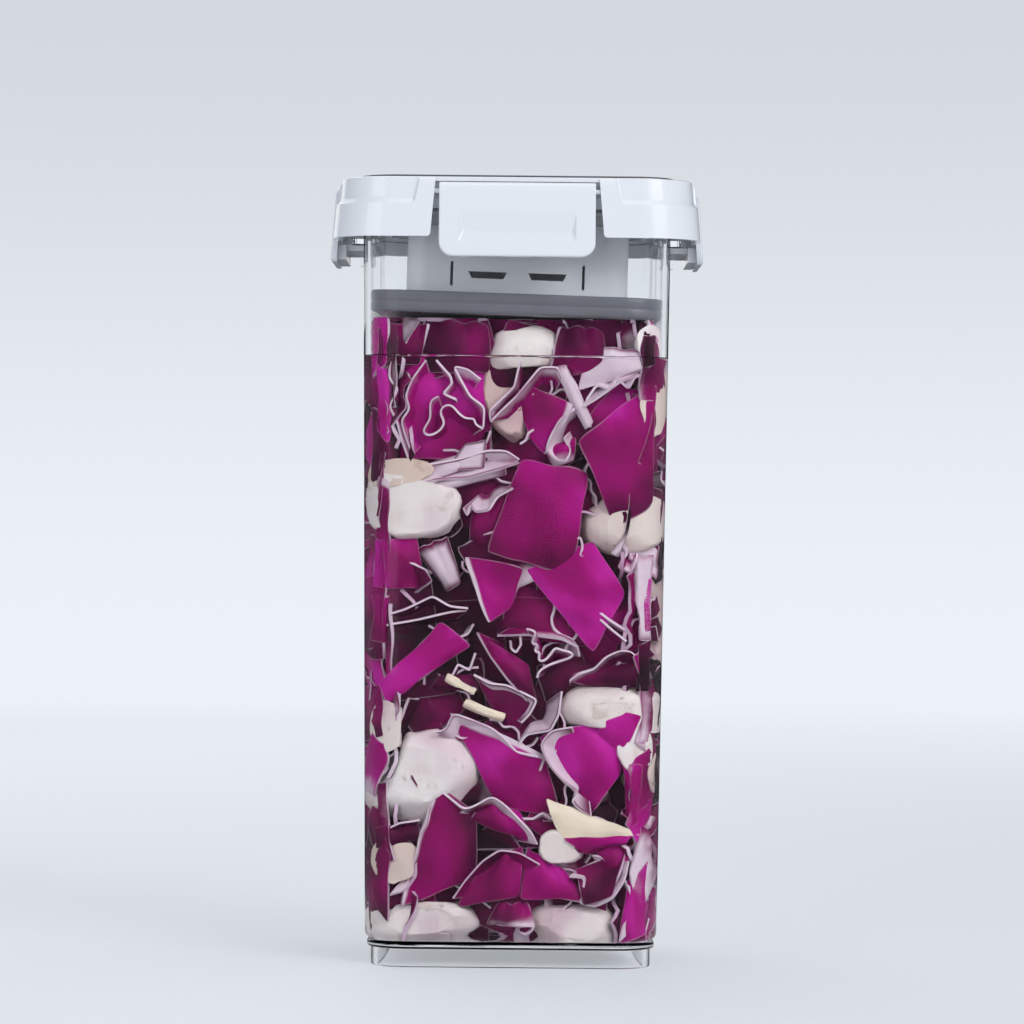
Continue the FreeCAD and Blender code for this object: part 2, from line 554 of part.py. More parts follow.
# ---- contents ------------------------------------------------------------------------------
def mushroom():
    """Mushroom at the front wall, above the brine: a domed cap over the stub of its stem."""
    radius = MUSHROOM_WIDTH / 2
    edge = (MUSHROOM_CAP ** 2 + radius ** 2) / (2 * MUSHROOM_CAP)
    dome_middle = MUSHROOM_CAP - edge
    shoulder = math.sqrt(edge ** 2 - (radius / 2) ** 2) + dome_middle
    outline = [
        Part.Arc(FreeCAD.Vector(radius, 0, 0), FreeCAD.Vector(radius / 2, 0, shoulder),
                 FreeCAD.Vector(0, 0, MUSHROOM_CAP)).toShape(),
        Part.makeLine((0, 0, MUSHROOM_CAP), (0, 0, -MUSHROOM_STEM)),
        Part.makeLine((0, 0, -MUSHROOM_STEM), (MUSHROOM_STEM, 0, -MUSHROOM_STEM)),
        Part.makeLine((MUSHROOM_STEM, 0, -MUSHROOM_STEM), (MUSHROOM_STEM, 0, 0)),
        Part.makeLine((MUSHROOM_STEM, 0, 0), (radius, 0, 0)),
    ]
    face = Part.Face(Part.Wire(outline))
    shape = face.revolve(FreeCAD.Vector(0, 0, 0), FreeCAD.Vector(0, 0, 1), 360)
    shape.rotate(FreeCAD.Vector(0, 0, 0), FreeCAD.Vector(0, 1, 0), MUSHROOM_TILT)
    front = inner_half(BRINE_LEVEL) - radius - 2 * PRESS_SEAL_GAP
    shape.translate(FreeCAD.Vector(MUSHROOM_OFFSET, -front, BRINE_LEVEL + MUSHROOM_STEM / 2))
    return shape.common(cavity_block(CONTENT_GAP, BRINE_LEVEL, PRESS_SEAL_FOOT))


def vegetables():
    """Heap of cut vegetables that stands out of the brine, as tilted lumps grown together."""
    room = cavity_block(CONTENT_GAP, BRINE_LEVEL, BRINE_LEVEL + HEAP_RISE)
    pitch = 2 * inner_half(BRINE_LEVEL) / HEAP_LUMPS
    lumps = []
    for row in range(HEAP_LUMPS):
        for column in range(HEAP_LUMPS):
            number = row * HEAP_LUMPS + column
            height = LUMP_HEIGHT + LUMP_HEIGHT_VARIES * math.sin(2.4 * number + 1.1)
            width = pitch * (LUMP_OVERLAP + LUMP_WIDTH_VARIES * math.sin(1.7 * number))
            corner = FreeCAD.Vector(-width / 2, -width / 2, -height)
            lump = Part.makeBox(width, width, 2 * height, corner)
            leaning = FreeCAD.Vector(math.sin(number), math.cos(number), 0)
            lump.rotate(FreeCAD.Vector(0, 0, 0), leaning, LUMP_TILT * (1 + math.sin(3.1 * number) / 2))
            lump.rotate(FreeCAD.Vector(0, 0, 0), FreeCAD.Vector(0, 0, 1), LUMP_TURN * number)
            across = (column - (HEAP_LUMPS - 1) / 2) * pitch
            along = (row - (HEAP_LUMPS - 1) / 2) * pitch
            lump.translate(FreeCAD.Vector(across, along, BRINE_LEVEL))
            lumps.append(lump)
    heap = lumps[0].fuse(lumps[1:]).common(room)
    return heap.cut(mushroom()).removeSplitter()


def brine():
    liquid = cavity_block(CONTENT_GAP, FLOOR_TOP, BRINE_LEVEL)
    return liquid.makeFillet(CAVITY_BOTTOM_ROUND, level_edges(liquid, FLOOR_TOP))


# ---- build ---------------------------------------------------------------------------------
def main():
    nodes = {
        "container": container(),
        "lid": lid(),
        "lid_seal": lid_seal(),
        "top_panel": top_panel(),
        "press_lid": press_lid(),
        "press_seal": press_seal(),
        "mushroom": mushroom(),
        "vegetables": vegetables(),
        "brine": brine(),
    }
    front_latch = latch()
    for side, degrees in SIDES.items():
        nodes["latch_" + side] = on_side(front_latch, degrees)

    os.makedirs("parts", exist_ok=True)
    for name, shape in nodes.items():
        shape.exportStep("parts/" + name + ".step")
        bounds = shape.BoundBox
        print(name, shape.isValid(), "solids", len(shape.Solids), "cm3", round(shape.Volume / 1000, 2),
              "x %.1f..%.1f z %.1f..%.1f" % (bounds.XMin, bounds.XMax, bounds.ZMin, bounds.ZMax))
    print("hinge axis", round(HINGE_OUT, 3), "out and", round(HINGE_HEIGHT, 3), "up")


main()
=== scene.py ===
import math
import random

import bpy
import numpy as np
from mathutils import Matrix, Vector, noise


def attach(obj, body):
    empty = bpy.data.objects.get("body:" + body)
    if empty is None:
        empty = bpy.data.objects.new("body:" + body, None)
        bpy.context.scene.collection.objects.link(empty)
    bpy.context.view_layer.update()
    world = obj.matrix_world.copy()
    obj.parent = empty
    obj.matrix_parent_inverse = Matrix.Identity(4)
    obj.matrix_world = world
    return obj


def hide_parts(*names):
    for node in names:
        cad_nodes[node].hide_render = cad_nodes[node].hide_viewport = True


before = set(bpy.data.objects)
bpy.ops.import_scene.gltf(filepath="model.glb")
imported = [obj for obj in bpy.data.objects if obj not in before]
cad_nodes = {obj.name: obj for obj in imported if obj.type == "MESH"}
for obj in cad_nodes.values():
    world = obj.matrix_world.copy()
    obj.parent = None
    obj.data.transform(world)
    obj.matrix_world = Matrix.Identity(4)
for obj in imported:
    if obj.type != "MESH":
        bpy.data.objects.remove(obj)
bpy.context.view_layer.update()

# Camera. It stands a good stride and a half in front of the jar, a little above
# the middle of its height, with a long lens and a slight roll to the right.
camera_data = bpy.data.cameras.new("camera")
camera_data.lens = 161.7
camera_data.sensor_width = 36
camera_data.clip_end = 40
camera = bpy.data.objects.new("camera", camera_data)
camera.location = (0, -1.639, 0.155)
camera.rotation_euler = (math.radians(90.1), math.radians(-0.55), math.radians(0.03))
bpy.context.scene.collection.objects.link(camera)
bpy.context.scene.camera = camera
bpy.context.scene.view_settings.view_transform = "Standard"

# Studio. A pale paper floor that sweeps up all round into the backdrop, lit by
# wide soft lamps: the main one high on the right, a fill on the left, one above
# and one behind. The paper also glows as painted light, in place of a backdrop with
# its own lamps: fully further out, partly beside the jar, and darker higher up.
FLOOR_RADIUS = 2.6
SWEEP = ((1.10, 0.03), (1.10, 0.12), (1.08, 0.28), (1.05, 0.45), (1.02, 0.7), (1.0, 1.4))
FLOOR_EDGE = (0.3, 2.4)     # metres out from the jar where the floor goes over into the lit backdrop
NEAR_GLOW = 0.42            # the share of the backdrop's light that the paper beside the jar has
SHEEN_EDGE = (0.16, 0.34)   # metres out where the floor goes dark in mirror images on the jar
LAMP_AIM = Vector((0, 0, 0.14))
bpy.ops.object.select_all(action="DESELECT")
bpy.ops.mesh.primitive_circle_add(vertices=96, radius=FLOOR_RADIUS, fill_type="NGON")
floor = bpy.context.object
floor.name = "floor"
bpy.ops.object.mode_set(mode="EDIT")
bpy.ops.mesh.select_all(action="SELECT")
for widening, rise in SWEEP:
    bpy.ops.mesh.extrude_region_move(TRANSFORM_OT_translate={"value": (0, 0, rise)})
    bpy.ops.transform.resize(value=(widening, widening, 1), center_override=(0, 0, 0))
bpy.ops.mesh.delete(type="ONLY_FACE")
bpy.ops.object.mode_set(mode="OBJECT")
bpy.ops.object.shade_smooth()


class Wire:
    """A shader socket. Operators on it add Math nodes, and node() adds any other node."""

    def __init__(self, tree, socket=None):
        self.tree, self.socket = tree, socket

    def node(self, kind, settings=None, values=None, output=0):
        """Adds a node of that type, sets it, gives its sockets values or wires, and returns one output."""
        made = self.tree.nodes.new("ShaderNode" + kind)
        for name, value in (settings or {}).items():
            if name == "stops":
                stops = made.color_ramp.elements
                while len(stops) < len(value):
                    stops.new(1)
                for stop, (place, colour) in zip(stops, value):
                    stop.position, stop.color = place, (*colour, 1)
            else:
                setattr(made, name, value)
        for name, value in (values or {}).items():
            if isinstance(value, Wire):
                self.tree.links.new(value.socket, made.inputs[name])
            else:
                made.inputs[name].default_value = value
        return Wire(self.tree, made.outputs[output])

    def maths(self, operation, first, second=0.0):
        return self.node("Math", {"operation": operation}, {0: first, 1: second})

    def __add__(self, other):
        return self.maths("ADD", self, other)

    def __sub__(self, other):
        return self.maths("SUBTRACT", self, other)

    def __rsub__(self, other):
        return self.maths("SUBTRACT", other, self)

    def __mul__(self, other):
        return self.maths("MULTIPLY", self, other)

    __radd__, __rmul__ = __add__, __mul__


def new_finish(name):
    """A bare material, and a Wire on its tree."""
    finish = bpy.data.materials.new(name)
    finish.use_nodes = True
    finish.node_tree.nodes.clear()
    return finish, Wire(finish.node_tree)


def set_surface(tree, surface, volume=None):
    """Ends a finish in its output node."""
    end = tree.tree.nodes.new("ShaderNodeOutputMaterial")
    tree.tree.links.new(surface.socket, end.inputs["Surface"])
    if volume:
        tree.tree.links.new(volume.socket, end.inputs["Volume"])


def patches(tree, size, detail=2.0, stretch=(1, 1, 1), start=(0, 0, 0)):
    """A 0 to 1 cloud pattern whose patches are about size across, in metres."""
    place = tree.node("TexCoord", output="Object")
    place = tree.node("Mapping", {}, {"Vector": place, "Location": start, "Scale": stretch})
    return tree.node("TexNoise", {}, {"Vector": place, "Scale": 0.5 / size, "Detail": detail})


def step_up(tree, value, low, high):
    """0 below low, 1 above high, and a soft step between."""
    return tree.node("MapRange", {"interpolation_type": "SMOOTHSTEP"},
                     {"Value": value, "From Min": low, "From Max": high})


def blend(tree, share, first, second):
    """One colour going over into another as share goes from 0 to 1."""
    first, second = (colour if isinstance(colour, Wire) else (*colour, 1) for colour in (first, second))
    return tree.node("Mix", {"data_type": "RGBA"}, {0: share, 6: first, 7: second}, output=2)


def bump(tree, height, depth, strength=1.0):
    """Dents and lumps up to depth metres high, for a Normal socket."""
    return tree.node("Bump", {}, {"Height": height, "Distance": depth, "Strength": strength})


paper, tree = new_finish("studio_paper")
fibre = patches(tree, 0.002, detail=3)
tone = blend(tree, patches(tree, 0.5), (0.76, 0.785, 0.82), (0.79, 0.815, 0.85))
matt_paper = tree.node("BsdfPrincipled", {}, {
    "Base Color": tone, "Roughness": 0.62 - 0.08 * fibre, "Specular IOR Level": 0.3,
    "Normal": bump(tree, fibre, 0.0003, 0.3)})
# The eye sees the paper glow, straight or through the jar; in the jar's mirror images the paper close by
# shows a painted dark grey instead.
place = tree.node("TexCoord", output="Object")
up = tree.node("SeparateXYZ", {}, {0: place}, output="Z")
level_place = tree.node("VectorMath", {"operation": "MULTIPLY"}, {0: place, 1: (1, 1, 0)})
out = tree.node("VectorMath", {"operation": "LENGTH"}, {0: level_place}, output="Value")
# Painted light: the glow is brighter low on the sweep and darker higher up.
lit = blend(tree, step_up(tree, up, 0.0, 0.75), (0.84, 0.885, 0.94), (0.66, 0.69, 0.74))
glow = tree.node("Emission", {}, {"Color": lit, "Strength": 1.0})
through = tree.node("LightPath", output="Is Transmission Ray")
seen = tree.maths("MAXIMUM", tree.node("LightPath", output="Is Camera Ray"), through)
seen = tree.maths("MAXIMUM", seen, tree.node("LightPath", output="Is Diffuse Ray") * 0.5)
glowing = seen * (NEAR_GLOW + (1 - NEAR_GLOW) * step_up(tree, out, *FLOOR_EDGE))
glowing_paper = tree.node("MixShader", {}, {0: glowing, 1: matt_paper, 2: glow})
# Painted reflection: the dark grey that the jar mirrors in place of the nearby paper.
dim = tree.node("BsdfDiffuse", {}, {"Color": (0.08, 0.083, 0.09, 1)})
mirrored = tree.node("LightPath", output="Is Glossy Ray") * (1 - through) * step_up(tree, out, *SHEEN_EDGE)
set_surface(tree, tree.node("MixShader", {}, {0: mirrored, 1: glowing_paper, 2: dim}))
paper.cycles.emission_sampling = "NONE"
floor.data.materials.append(paper)

for name, place, size, power in (
    ("lamp_main", (0.85, -1.15, 1.05), 0.8, 10.5),
    ("lamp_fill", (-1.05, -1.35, 0.38), 0.9, 4.5),
    ("lamp_top", (0.1, 0.15, 1.7), 1.1, 5.0),
    ("lamp_back", (-0.5, 1.3, 0.9), 1.4, 7.0),
):
    lamp_data = bpy.data.lights.new(name, "AREA")
    lamp_data.size = size
    lamp_data.energy = power
    lamp = bpy.data.objects.new(name, lamp_data)
    lamp.visible_camera = lamp.visible_transmission = False
    lamp.location = place
    lamp.rotation_euler = (Vector(place) - LAMP_AIM).to_track_quat("Z", "Y").to_euler()
    bpy.context.scene.collection.objects.link(lamp)
world = bpy.data.worlds.new("studio_air")
world.use_nodes = True
air = Wire(world.node_tree)
seen = air.maths("MAXIMUM", air.node("LightPath", output="Is Camera Ray"),
                 air.node("LightPath", output="Is Transmission Ray"))
mirrored = air.node("LightPath", output="Is Glossy Ray")
soft = blend(air, mirrored, (0.33, 0.35, 0.38), (0.07, 0.075, 0.085))
backdrop = world.node_tree.nodes["Background"]
world.node_tree.links.new(blend(air, seen, soft, (0.69, 0.72, 0.77)).socket, backdrop.inputs["Color"])
world.cycles.sampling_method = "NONE"
bpy.context.scene.world = world

# Container. One clear, polished, injection-moulded shell with a foot ring, a
# rim flange and four locking ledges; lamps shine straight through its walls.
WALL_MIRROR = 0.22      # the share of a real wall's mirror image, so that the contents stay clear to see


def dress(name, finish):
    """Gives a CAD node its finish."""
    for place in cad_nodes[name].material_slots:
        place.material = finish


def clear_surface(tree, glass, tint):
    """Bends what the eye sees behind a clear piece, and lets the lamps' light through it."""
    lamp_ray = tree.node("LightPath", output="Is Shadow Ray")
    open_air = tree.node("BsdfTransparent", {}, {"Color": (*tint, 1)})
    return tree.node("MixShader", {}, {0: lamp_ray, 1: glass, 2: open_air})


clear_plastic, tree = new_finish("clear_plastic")
flow = patches(tree, 0.010, detail=0, stretch=(1, 1, 0.06))
haze = patches(tree, 0.020, detail=1)
glass = tree.node("BsdfPrincipled", {}, {
    "Base Color": blend(tree, haze, (0.975, 0.98, 0.985), (0.99, 0.995, 1.0)), "Roughness": 0.0,
    "Transmission Weight": 1.0, "IOR": 1.49, "Specular Tint": (*[WALL_MIRROR] * 3, 1),
    "Normal": bump(tree, flow, 0.0004, 0.35)})
set_surface(tree, clear_surface(tree, glass, (0.97, 0.975, 0.98)))
dress("container", clear_plastic)

# Red cabbage. Hand-cut squares of leaf, purple skin over lilac-white flesh, laid
# in by the handful; the outer pieces press flat on the wall, the rest curl behind.
# Positions and sizes are in mm; a side's own axes are across it, inward and up.
MM = 0.001
LEAF_THICKNESS, EDGE_THICKNESS = 1.25, 0.8
LEAF_CLEARANCE = 0.2        # between a leaf's face and the wall
WALL_INSIDE_TOP = 51.3      # half the cavity's width at the rim, and what it loses each mm down
RIM_HEIGHT = 260.7
DRAFT = math.tan(math.radians(0.62))
CAVITY_CORNER = 12.8
CAVITY_FLOOR = 9.1
HEAP_TOP = 224.2
SIDE_NAMES = ("front", "right", "back", "left")
FRONT, RIGHT, BACK, LEFT = range(4)


def fit_outline(points, gap):
    """Draws points that lie outside the cavity's outline in to it, a gap clear of the walls."""
    half = WALL_INSIDE_TOP - (RIM_HEIGHT - points[:, 2]) * DRAFT - gap
    corner = CAVITY_CORNER - gap
    flat = half - corner
    over = np.maximum(np.abs(points[:, :2]) - flat[:, None], 0)
    reach = np.maximum(np.hypot(over[:, 0], over[:, 1]), 1e-9)
    over *= np.minimum(1, corner / reach)[:, None]
    points[:, :2] = np.sign(points[:, :2]) * (np.minimum(np.abs(points[:, :2]), flat[:, None]) + over)
    return points


def press_inside(points, gap):
    """Keeps points between the cavity's floor and the heap's top as well as inside its walls."""
    points[:, 2] = np.clip(points[:, 2], CAVITY_FLOOR + gap, HEAP_TOP)
    return fit_outline(points, gap)


def place_on_side(across, inward, height, side):
    """Points given in a side's own axes, in the jar's axes."""
    half = WALL_INSIDE_TOP - (RIM_HEIGHT - height) * DRAFT
    turn = math.radians(90 * side)
    x, y = across, inward - half
    return np.stack([x * math.cos(turn) - y * math.sin(turn),
                     x * math.sin(turn) + y * math.cos(turn), height], axis=1)


def points_of(mesh):
    """Where a mesh's points are, one row each."""
    spots = np.empty(len(mesh.vertices) * 3)
    mesh.vertices.foreach_get("co", spots)
    return spots.reshape(-1, 3)


def new_sheet(columns, rows):
    """A flat grid to shape a piece from, and where each point lies on it, from 0 to 1."""
    bpy.ops.object.select_all(action="DESELECT")
    bpy.ops.mesh.primitive_grid_add(x_subdivisions=columns, y_subdivisions=rows, size=1)
    sheet = bpy.context.object
    mesh = sheet.data.copy()
    bpy.data.objects.remove(sheet)
    spots = points_of(mesh)
    return mesh, spots[:, 0] + 0.5, spots[:, 1] + 0.5


def waves(a, b, seed, size):
    """Smooth uneven waves, about 1 high and size long, over positions a and b."""
    rng = random.Random(seed)
    total = 0
    for _ in range(4):
        turn, phase = rng.uniform(0, math.tau), rng.uniform(0, math.tau)
        pitch = size * rng.uniform(0.7, 1.6)
        total = total + np.sin((a * math.cos(turn) + b * math.sin(turn)) * math.tau / pitch + phase)
    return total / 2


def note(mesh, name, value):
    """Notes a number on a whole mesh, for its material to read."""
    mesh.attributes.new(name, "FLOAT", "POINT").data.foreach_set(
        "value", np.full(len(mesh.vertices), value))


leaf_pieces = {name: [] for name in SIDE_NAMES}
edge_pieces = {name: [] for name in SIDE_NAMES}
EDGE_COLUMNS = 54
fine_sheet = new_sheet(18, 18)
coarse_sheet = new_sheet(9, 9)
edge_sheet = new_sheet(EDGE_COLUMNS, 3)


def keep_piece(pieces, sheet, points, side, **looks):
    """Makes one piece from a sheet and its points, and notes its own looks on it."""
    mesh = sheet[0].copy()
    mesh.vertices.foreach_set("co", (press_inside(points, LEAF_THICKNESS / 2 + LEAF_CLEARANCE) * MM).ravel())
    for name in ("tone", "pale", "lip", "cream"):
        note(mesh, name, looks.get(name, 0.0))
    piece = bpy.data.objects.new("leaf", mesh)
    bpy.context.scene.collection.objects.link(piece)
    pieces[SIDE_NAMES[side]].append(piece)


def leaf(side, corners, depth, seed, belly=0.0, ruffle=0.0, folds=2.0, curl=0.0, bend=None, sheet=fine_sheet,
         tone=0.5, pale=0.0, lip=0.0, cream=0.0):
    """A cut leaf by its four corners on a side, root left, root right, tip right, tip left, and its
    depth at each. Its middle swells by belly, and its tip ruffles, in so many folds, and curls back."""
    _, u, v = sheet
    draw = random.Random(seed)
    bend = bend or (draw.uniform(0.3, 2.6), draw.uniform(0.0, 2.2))
    frill = draw.uniform(0.3, 0.9)
    weights = ((1 - u) * (1 - v), u * (1 - v), u * v, (1 - u) * v)
    across = sum(weight * corner[0] for weight, corner in zip(weights, corners))
    height = sum(weight * corner[1] for weight, corner in zip(weights, corners))
    inward = sum(weight * deep for weight, deep in zip(weights, depth))
    # Bend both ways, swollen middle, ruffled and rolled tip.
    inward = inward + bend[0] * (2 * u - 1) ** 2 + bend[1] * (2 * v - 1) ** 2
    inward = inward + belly * (1 - 16 * u * (1 - u) * v * (1 - v))
    inward = inward + ruffle * v ** 1.5 * np.sin(math.tau * folds * u + seed)
    height = height + 0.35 * ruffle * v ** 1.5 * np.cos(math.tau * folds * u * 1.3 + 2 * seed)
    inward = inward + curl * (np.maximum(v - 0.6, 0) / 0.4) ** 2
    # Faces uneven in waves 12 to 16 mm long, and a rim that wanders as the knife did.
    rim = np.maximum(np.abs(2 * u - 1), np.abs(2 * v - 1)) ** 4
    uneven = 0.35 * waves(across, height, seed, 12)
    inward = inward + uneven + frill * rim * waves(across, height, seed + 5, 13)
    across = across + 0.3 * rim * waves(across, height, seed + 1, 16)
    height = height + 0.3 * rim * waves(across, height, seed + 2, 16)
    # Corners a little rounded.
    middle_across, middle_height = across.mean(), height.mean()
    rounding = 1 - 0.05 * (np.abs(2 * u - 1) * np.abs(2 * v - 1)) ** 8
    across = middle_across + (across - middle_across) * rounding
    height = middle_height + (height - middle_height) * rounding
    points = place_on_side(across, inward, height, side)
    keep_piece(leaf_pieces, sheet, points, side, tone=tone, pale=pale, lip=lip, cream=cream)


def edge(side, path, depth, reach, lean, seed, tone, pale):
    """A leaf seen on its cut edge. The edge follows the path along the side, and the leaf runs
    inward from it by reach, leaning across and up by lean."""
    _, u, v = edge_sheet
    path = np.array(path, dtype=float)
    gone = np.concatenate([[0], np.cumsum(np.hypot(*np.diff(path, axis=0).T))])
    steps = np.linspace(0, 1, EDGE_COLUMNS + 1)
    line = [np.interp(steps, gone / gone[-1], path[:, axis]) for axis in (0, 1)]
    for coordinate in line:
        for _ in range(5):
            coordinate[1:-1] = (coordinate[:-2] + 2 * coordinate[1:-1] + coordinate[2:]) / 4
    calm = 1 - 0.55 * v         # the winding dies away inward
    middle = [coordinate.mean() for coordinate in line]
    across = middle[0] + (np.interp(u, steps, line[0]) - middle[0]) * calm + lean[0] * v
    height = middle[1] + (np.interp(u, steps, line[1]) - middle[1]) * calm + lean[1] * v
    inward = depth + v * reach + 0.4 * waves(across, height, seed, 12)
    points = place_on_side(across, inward, height, side)
    keep_piece(edge_pieces, edge_sheet, points, side, tone=tone, pale=pale)


def random_edge(side, start, heading, steps, stride, turn_most, draw, depth, lean, tone, pale):
    """A winding cut edge whose path turns at random."""
    path, (x, z) = [start], start
    swing = draw.choice((-1, 1))
    for _ in range(steps):
        heading += swing * draw.uniform(0.4, turn_most)
        swing = -swing if draw.random() < 0.6 else swing
        x, z = x + stride * math.cos(heading), z + stride * math.sin(heading)
        path.append((x, z))
    edge(side, path, depth, reach=9, lean=lean, seed=draw.randrange(1000), tone=tone, pale=pale)


# A piece's tone is its skin's own colour and painted light in one: low tones paint pieces in shade or deep in
# the heap darker, high ones paint lit pieces brighter.
# The front wall is laid piece by piece. First the leaves that show their faces, ...
leaf(FRONT, ((35, 152.5), (50.5, 161.5), (49, 204), (21.7, 183)), (0, 0, 2.5, 0.3), seed=3, belly=0.4,
     tone=0.52)
leaf(FRONT, ((-9.6, 143.5), (20, 136.5), (25.3, 172), (2.1, 176.3)), (1.3, 1.3, 0.8, 0), seed=5, belly=0.3,
     tone=0.54)
leaf(FRONT, ((27.5, 109.5), (38.5, 130), (27.5, 148), (3.5, 138)), (0, 0.4, 1.5, 2.6), seed=8, belly=0.5,
     tone=0.74)
leaf(FRONT, ((0, 125.5), (3.3, 138.5), (-17.5, 142.5), (-9, 118.5)), (2.6, 4.5, 0.6, 0.6), seed=11,
     belly=-2.6, bend=(0, 0), tone=0.6, pale=0.06, lip=0.9)
leaf(FRONT, ((-47, 97.5), (-42.5, 91.5), (-14.5, 112), (-25, 119.5)), (0.2, 0, 1.6, 1.6), seed=14, belly=0.4,
     tone=0.88)
leaf(FRONT, ((-51, 131.5), (-30.5, 130.5), (-33.5, 148), (-51, 147.8)), (0, 2.4, 0.6, 0), seed=17, belly=0.4,
     tone=0.72)
leaf(FRONT, ((-22.5, 130), (-18.5, 133), (-23.5, 149), (-34, 144.5)), (2.8, 2, 1.6, 1.0), seed=20, ruffle=1.0,
     pale=1.0)
leaf(FRONT, ((-2, 205), (5, 184), (11, 178), (20.5, 195)), (5.0, 3.0, 0.8, 0.8), seed=23, belly=0.8,
     bend=(1.5, 1), ruffle=1.4, folds=0.8, tone=0.63, pale=0.05, lip=1.0)
leaf(FRONT, ((14, 173.5), (20, 176), (21, 184), (10.5, 180)), (1.6, 0.6, 0.4, 0.8), seed=26, belly=1.2,
     curl=2.5, tone=0.65, pale=0.45)
leaf(FRONT, ((24.5, 186.5), (26.5, 189), (17, 209), (13, 208)), (2.0, 2.0, 1.0, 0.8), seed=29, tone=0.4,
     pale=1.0)
leaf(FRONT, ((21.5, 200), (47, 208.5), (43.5, 213), (26.5, 216)), (2.0, 1.0, 1.8, 2.8), seed=31, belly=1.0,
     ruffle=0.8, pale=0.85)
leaf(FRONT, ((-15.5, 145.5), (-7.5, 146.5), (0, 168.5), (-15, 156)), (4.4, 4.0, 5.4, 3.4), seed=34,
     ruffle=2.0, folds=1.6, belly=0.8, pale=0.25)
leaf(FRONT, ((-6, 115.5), (27, 111), (21, 128), (-3, 128)), (5.5, 4.5, 6.5, 7.0), seed=37, belly=0.8,
     tone=0.3, pale=0.05)
leaf(FRONT, ((-1.5, 100), (8.2, 92), (5.5, 105), (-12.5, 115.5)), (3.2, 3.6, 4.0, 3.0), seed=41, belly=0.6,
     tone=0.52)
leaf(FRONT, ((19.5, 98), (49, 98), (47.5, 108), (20.5, 101.5)), (3.2, 2.2, 1.2, 1.6), seed=43, belly=1.2,
     ruffle=1.0, folds=0.8, tone=0.34, lip=0.6)
leaf(FRONT, ((27.5, 52.8), (37.5, 68.5), (38.5, 88.5), (8.8, 80.5)), (0.8, 0.2, 0.8, 1.8), seed=46, belly=1.4,
     ruffle=1.0, folds=1.3, tone=0.9, pale=0.02)
leaf(FRONT, ((37.5, 74.5), (44.8, 87.5), (33, 90), (29.5, 81)), (0.2, 0.0, 1.2, 0.6), seed=48, belly=0.6,
     tone=0.7)
leaf(FRONT, ((-5, 56.5), (17, 52), (11, 74.5), (-22.5, 89)), (3.6, 3.4, 2.4, 1.0), seed=51, belly=1.0,
     ruffle=1.3, folds=1.0, curl=-1.2, tone=0.52, pale=0.05, lip=1.0)
leaf(FRONT, ((-12, 53), (-12, 31), (-38.5, 20.5), (-26, 63.5)), (3.0, 2.4, 0.2, 0.4), seed=54, belly=1.0,
     bend=(1.2, 0.4), ruffle=0.6, tone=0.48, pale=0.02, lip=0.7)
leaf(FRONT, ((-14.3, 51.5), (8.4, 43), (2, 54.5), (-10.5, 57)), (2.0, 1.2, 2.4, 2.8), seed=57, belly=0.8,
     ruffle=1.2, tone=0.58, pale=0.14)
leaf(FRONT, ((-19, 21), (3.3, 25), (4.2, 42), (-7.5, 38.5)), (0.5, 0.2, 2.2, 2.6), seed=61, belly=0.8,
     ruffle=1.0, tone=0.55)
leaf(FRONT, ((3.5, 24), (26, 23.5), (17.5, 34.5), (5.5, 42)), (0.6, 1.0, 2.4, 3.0), seed=63, belly=0.8,
     ruffle=0.8)
leaf(FRONT, ((25, 22), (35.5, 25.5), (39.5, 41.5), (22.5, 34)), (0.6, 1.0, 5.0, 5.0), seed=66, belly=-2.2,
     tone=0.24, pale=0.1)
leaf(FRONT, ((30, 37.5), (39, 31), (40.5, 43), (30.5, 43)), (2.4, 1.2, 2.2, 2.8), seed=68, tone=0.56,
     pale=0.08)
leaf(FRONT, ((37.5, 10.5), (49.5, 12), (50, 38), (40.5, 31.5)), (0.8, 0, 0, 1.2), seed=71, belly=0.6,
     tone=0.62, pale=0.12)
leaf(FRONT, ((21.8, 41), (28.7, 40.2), (39.5, 45.5), (17, 43.8)), (0.4, 0.4, 1.4, 1.4), seed=74, tone=0.46)
leaf(FRONT, ((41, 48.5), (43.5, 50.5), (44.5, 71), (38.5, 70.5)), (0.8, 0.2, 0.4, 1.0), seed=77, tone=0.7,
     pale=0.12)
leaf(FRONT, ((-2.5, 84), (1.5, 83), (8.5, 93), (-13.5, 101.5)), (3.6, 3.8, 2.4, 2.2), seed=79, belly=1.0,
     curl=-1.0, tone=0.55, pale=0.05, lip=1.0)
leaf(FRONT, ((43.5, 113.5), (50.3, 113.5), (50, 144), (41, 142)), (0.6, 0, 0, 0.8), seed=83, ruffle=0.6,
     pale=0.9)
leaf(FRONT, ((45.5, 117), (50.3, 117), (50.3, 135), (47.3, 135)), (0.1, 0, 0, 0.1), seed=85, tone=0.78)
leaf(FRONT, ((-50, 186), (-43, 181), (-42.5, 206), (-49.5, 209)), (0, 1.2, 2.6, 0.2), seed=91, belly=1.0,
     tone=0.98)
leaf(FRONT, ((-49, 168), (-40, 166), (-41, 190), (-50, 194)), (2.2, 3.2, 3.4, 2.2), seed=93, belly=1.0,
     tone=0.34)
leaf(FRONT, ((-36, 165), (-9, 176), (-11, 181), (-34, 172)), (0.4, 0.8, 2.6, 2.6), seed=95, belly=0.8,
     curl=3.0, pale=0.8)
leaf(FRONT, ((-38, 161.5), (-3, 171), (-4, 175), (-37, 166.5)), (1.6, 2.2, 3.2, 3.0), seed=97, belly=0.8,
     curl=2.0, pale=0.65)
leaf(FRONT, ((-17, 181), (-10, 183), (-11, 172.5), (-24, 172)), (1.2, 1.2, 1.6, 1.6), seed=99, pale=1.0)
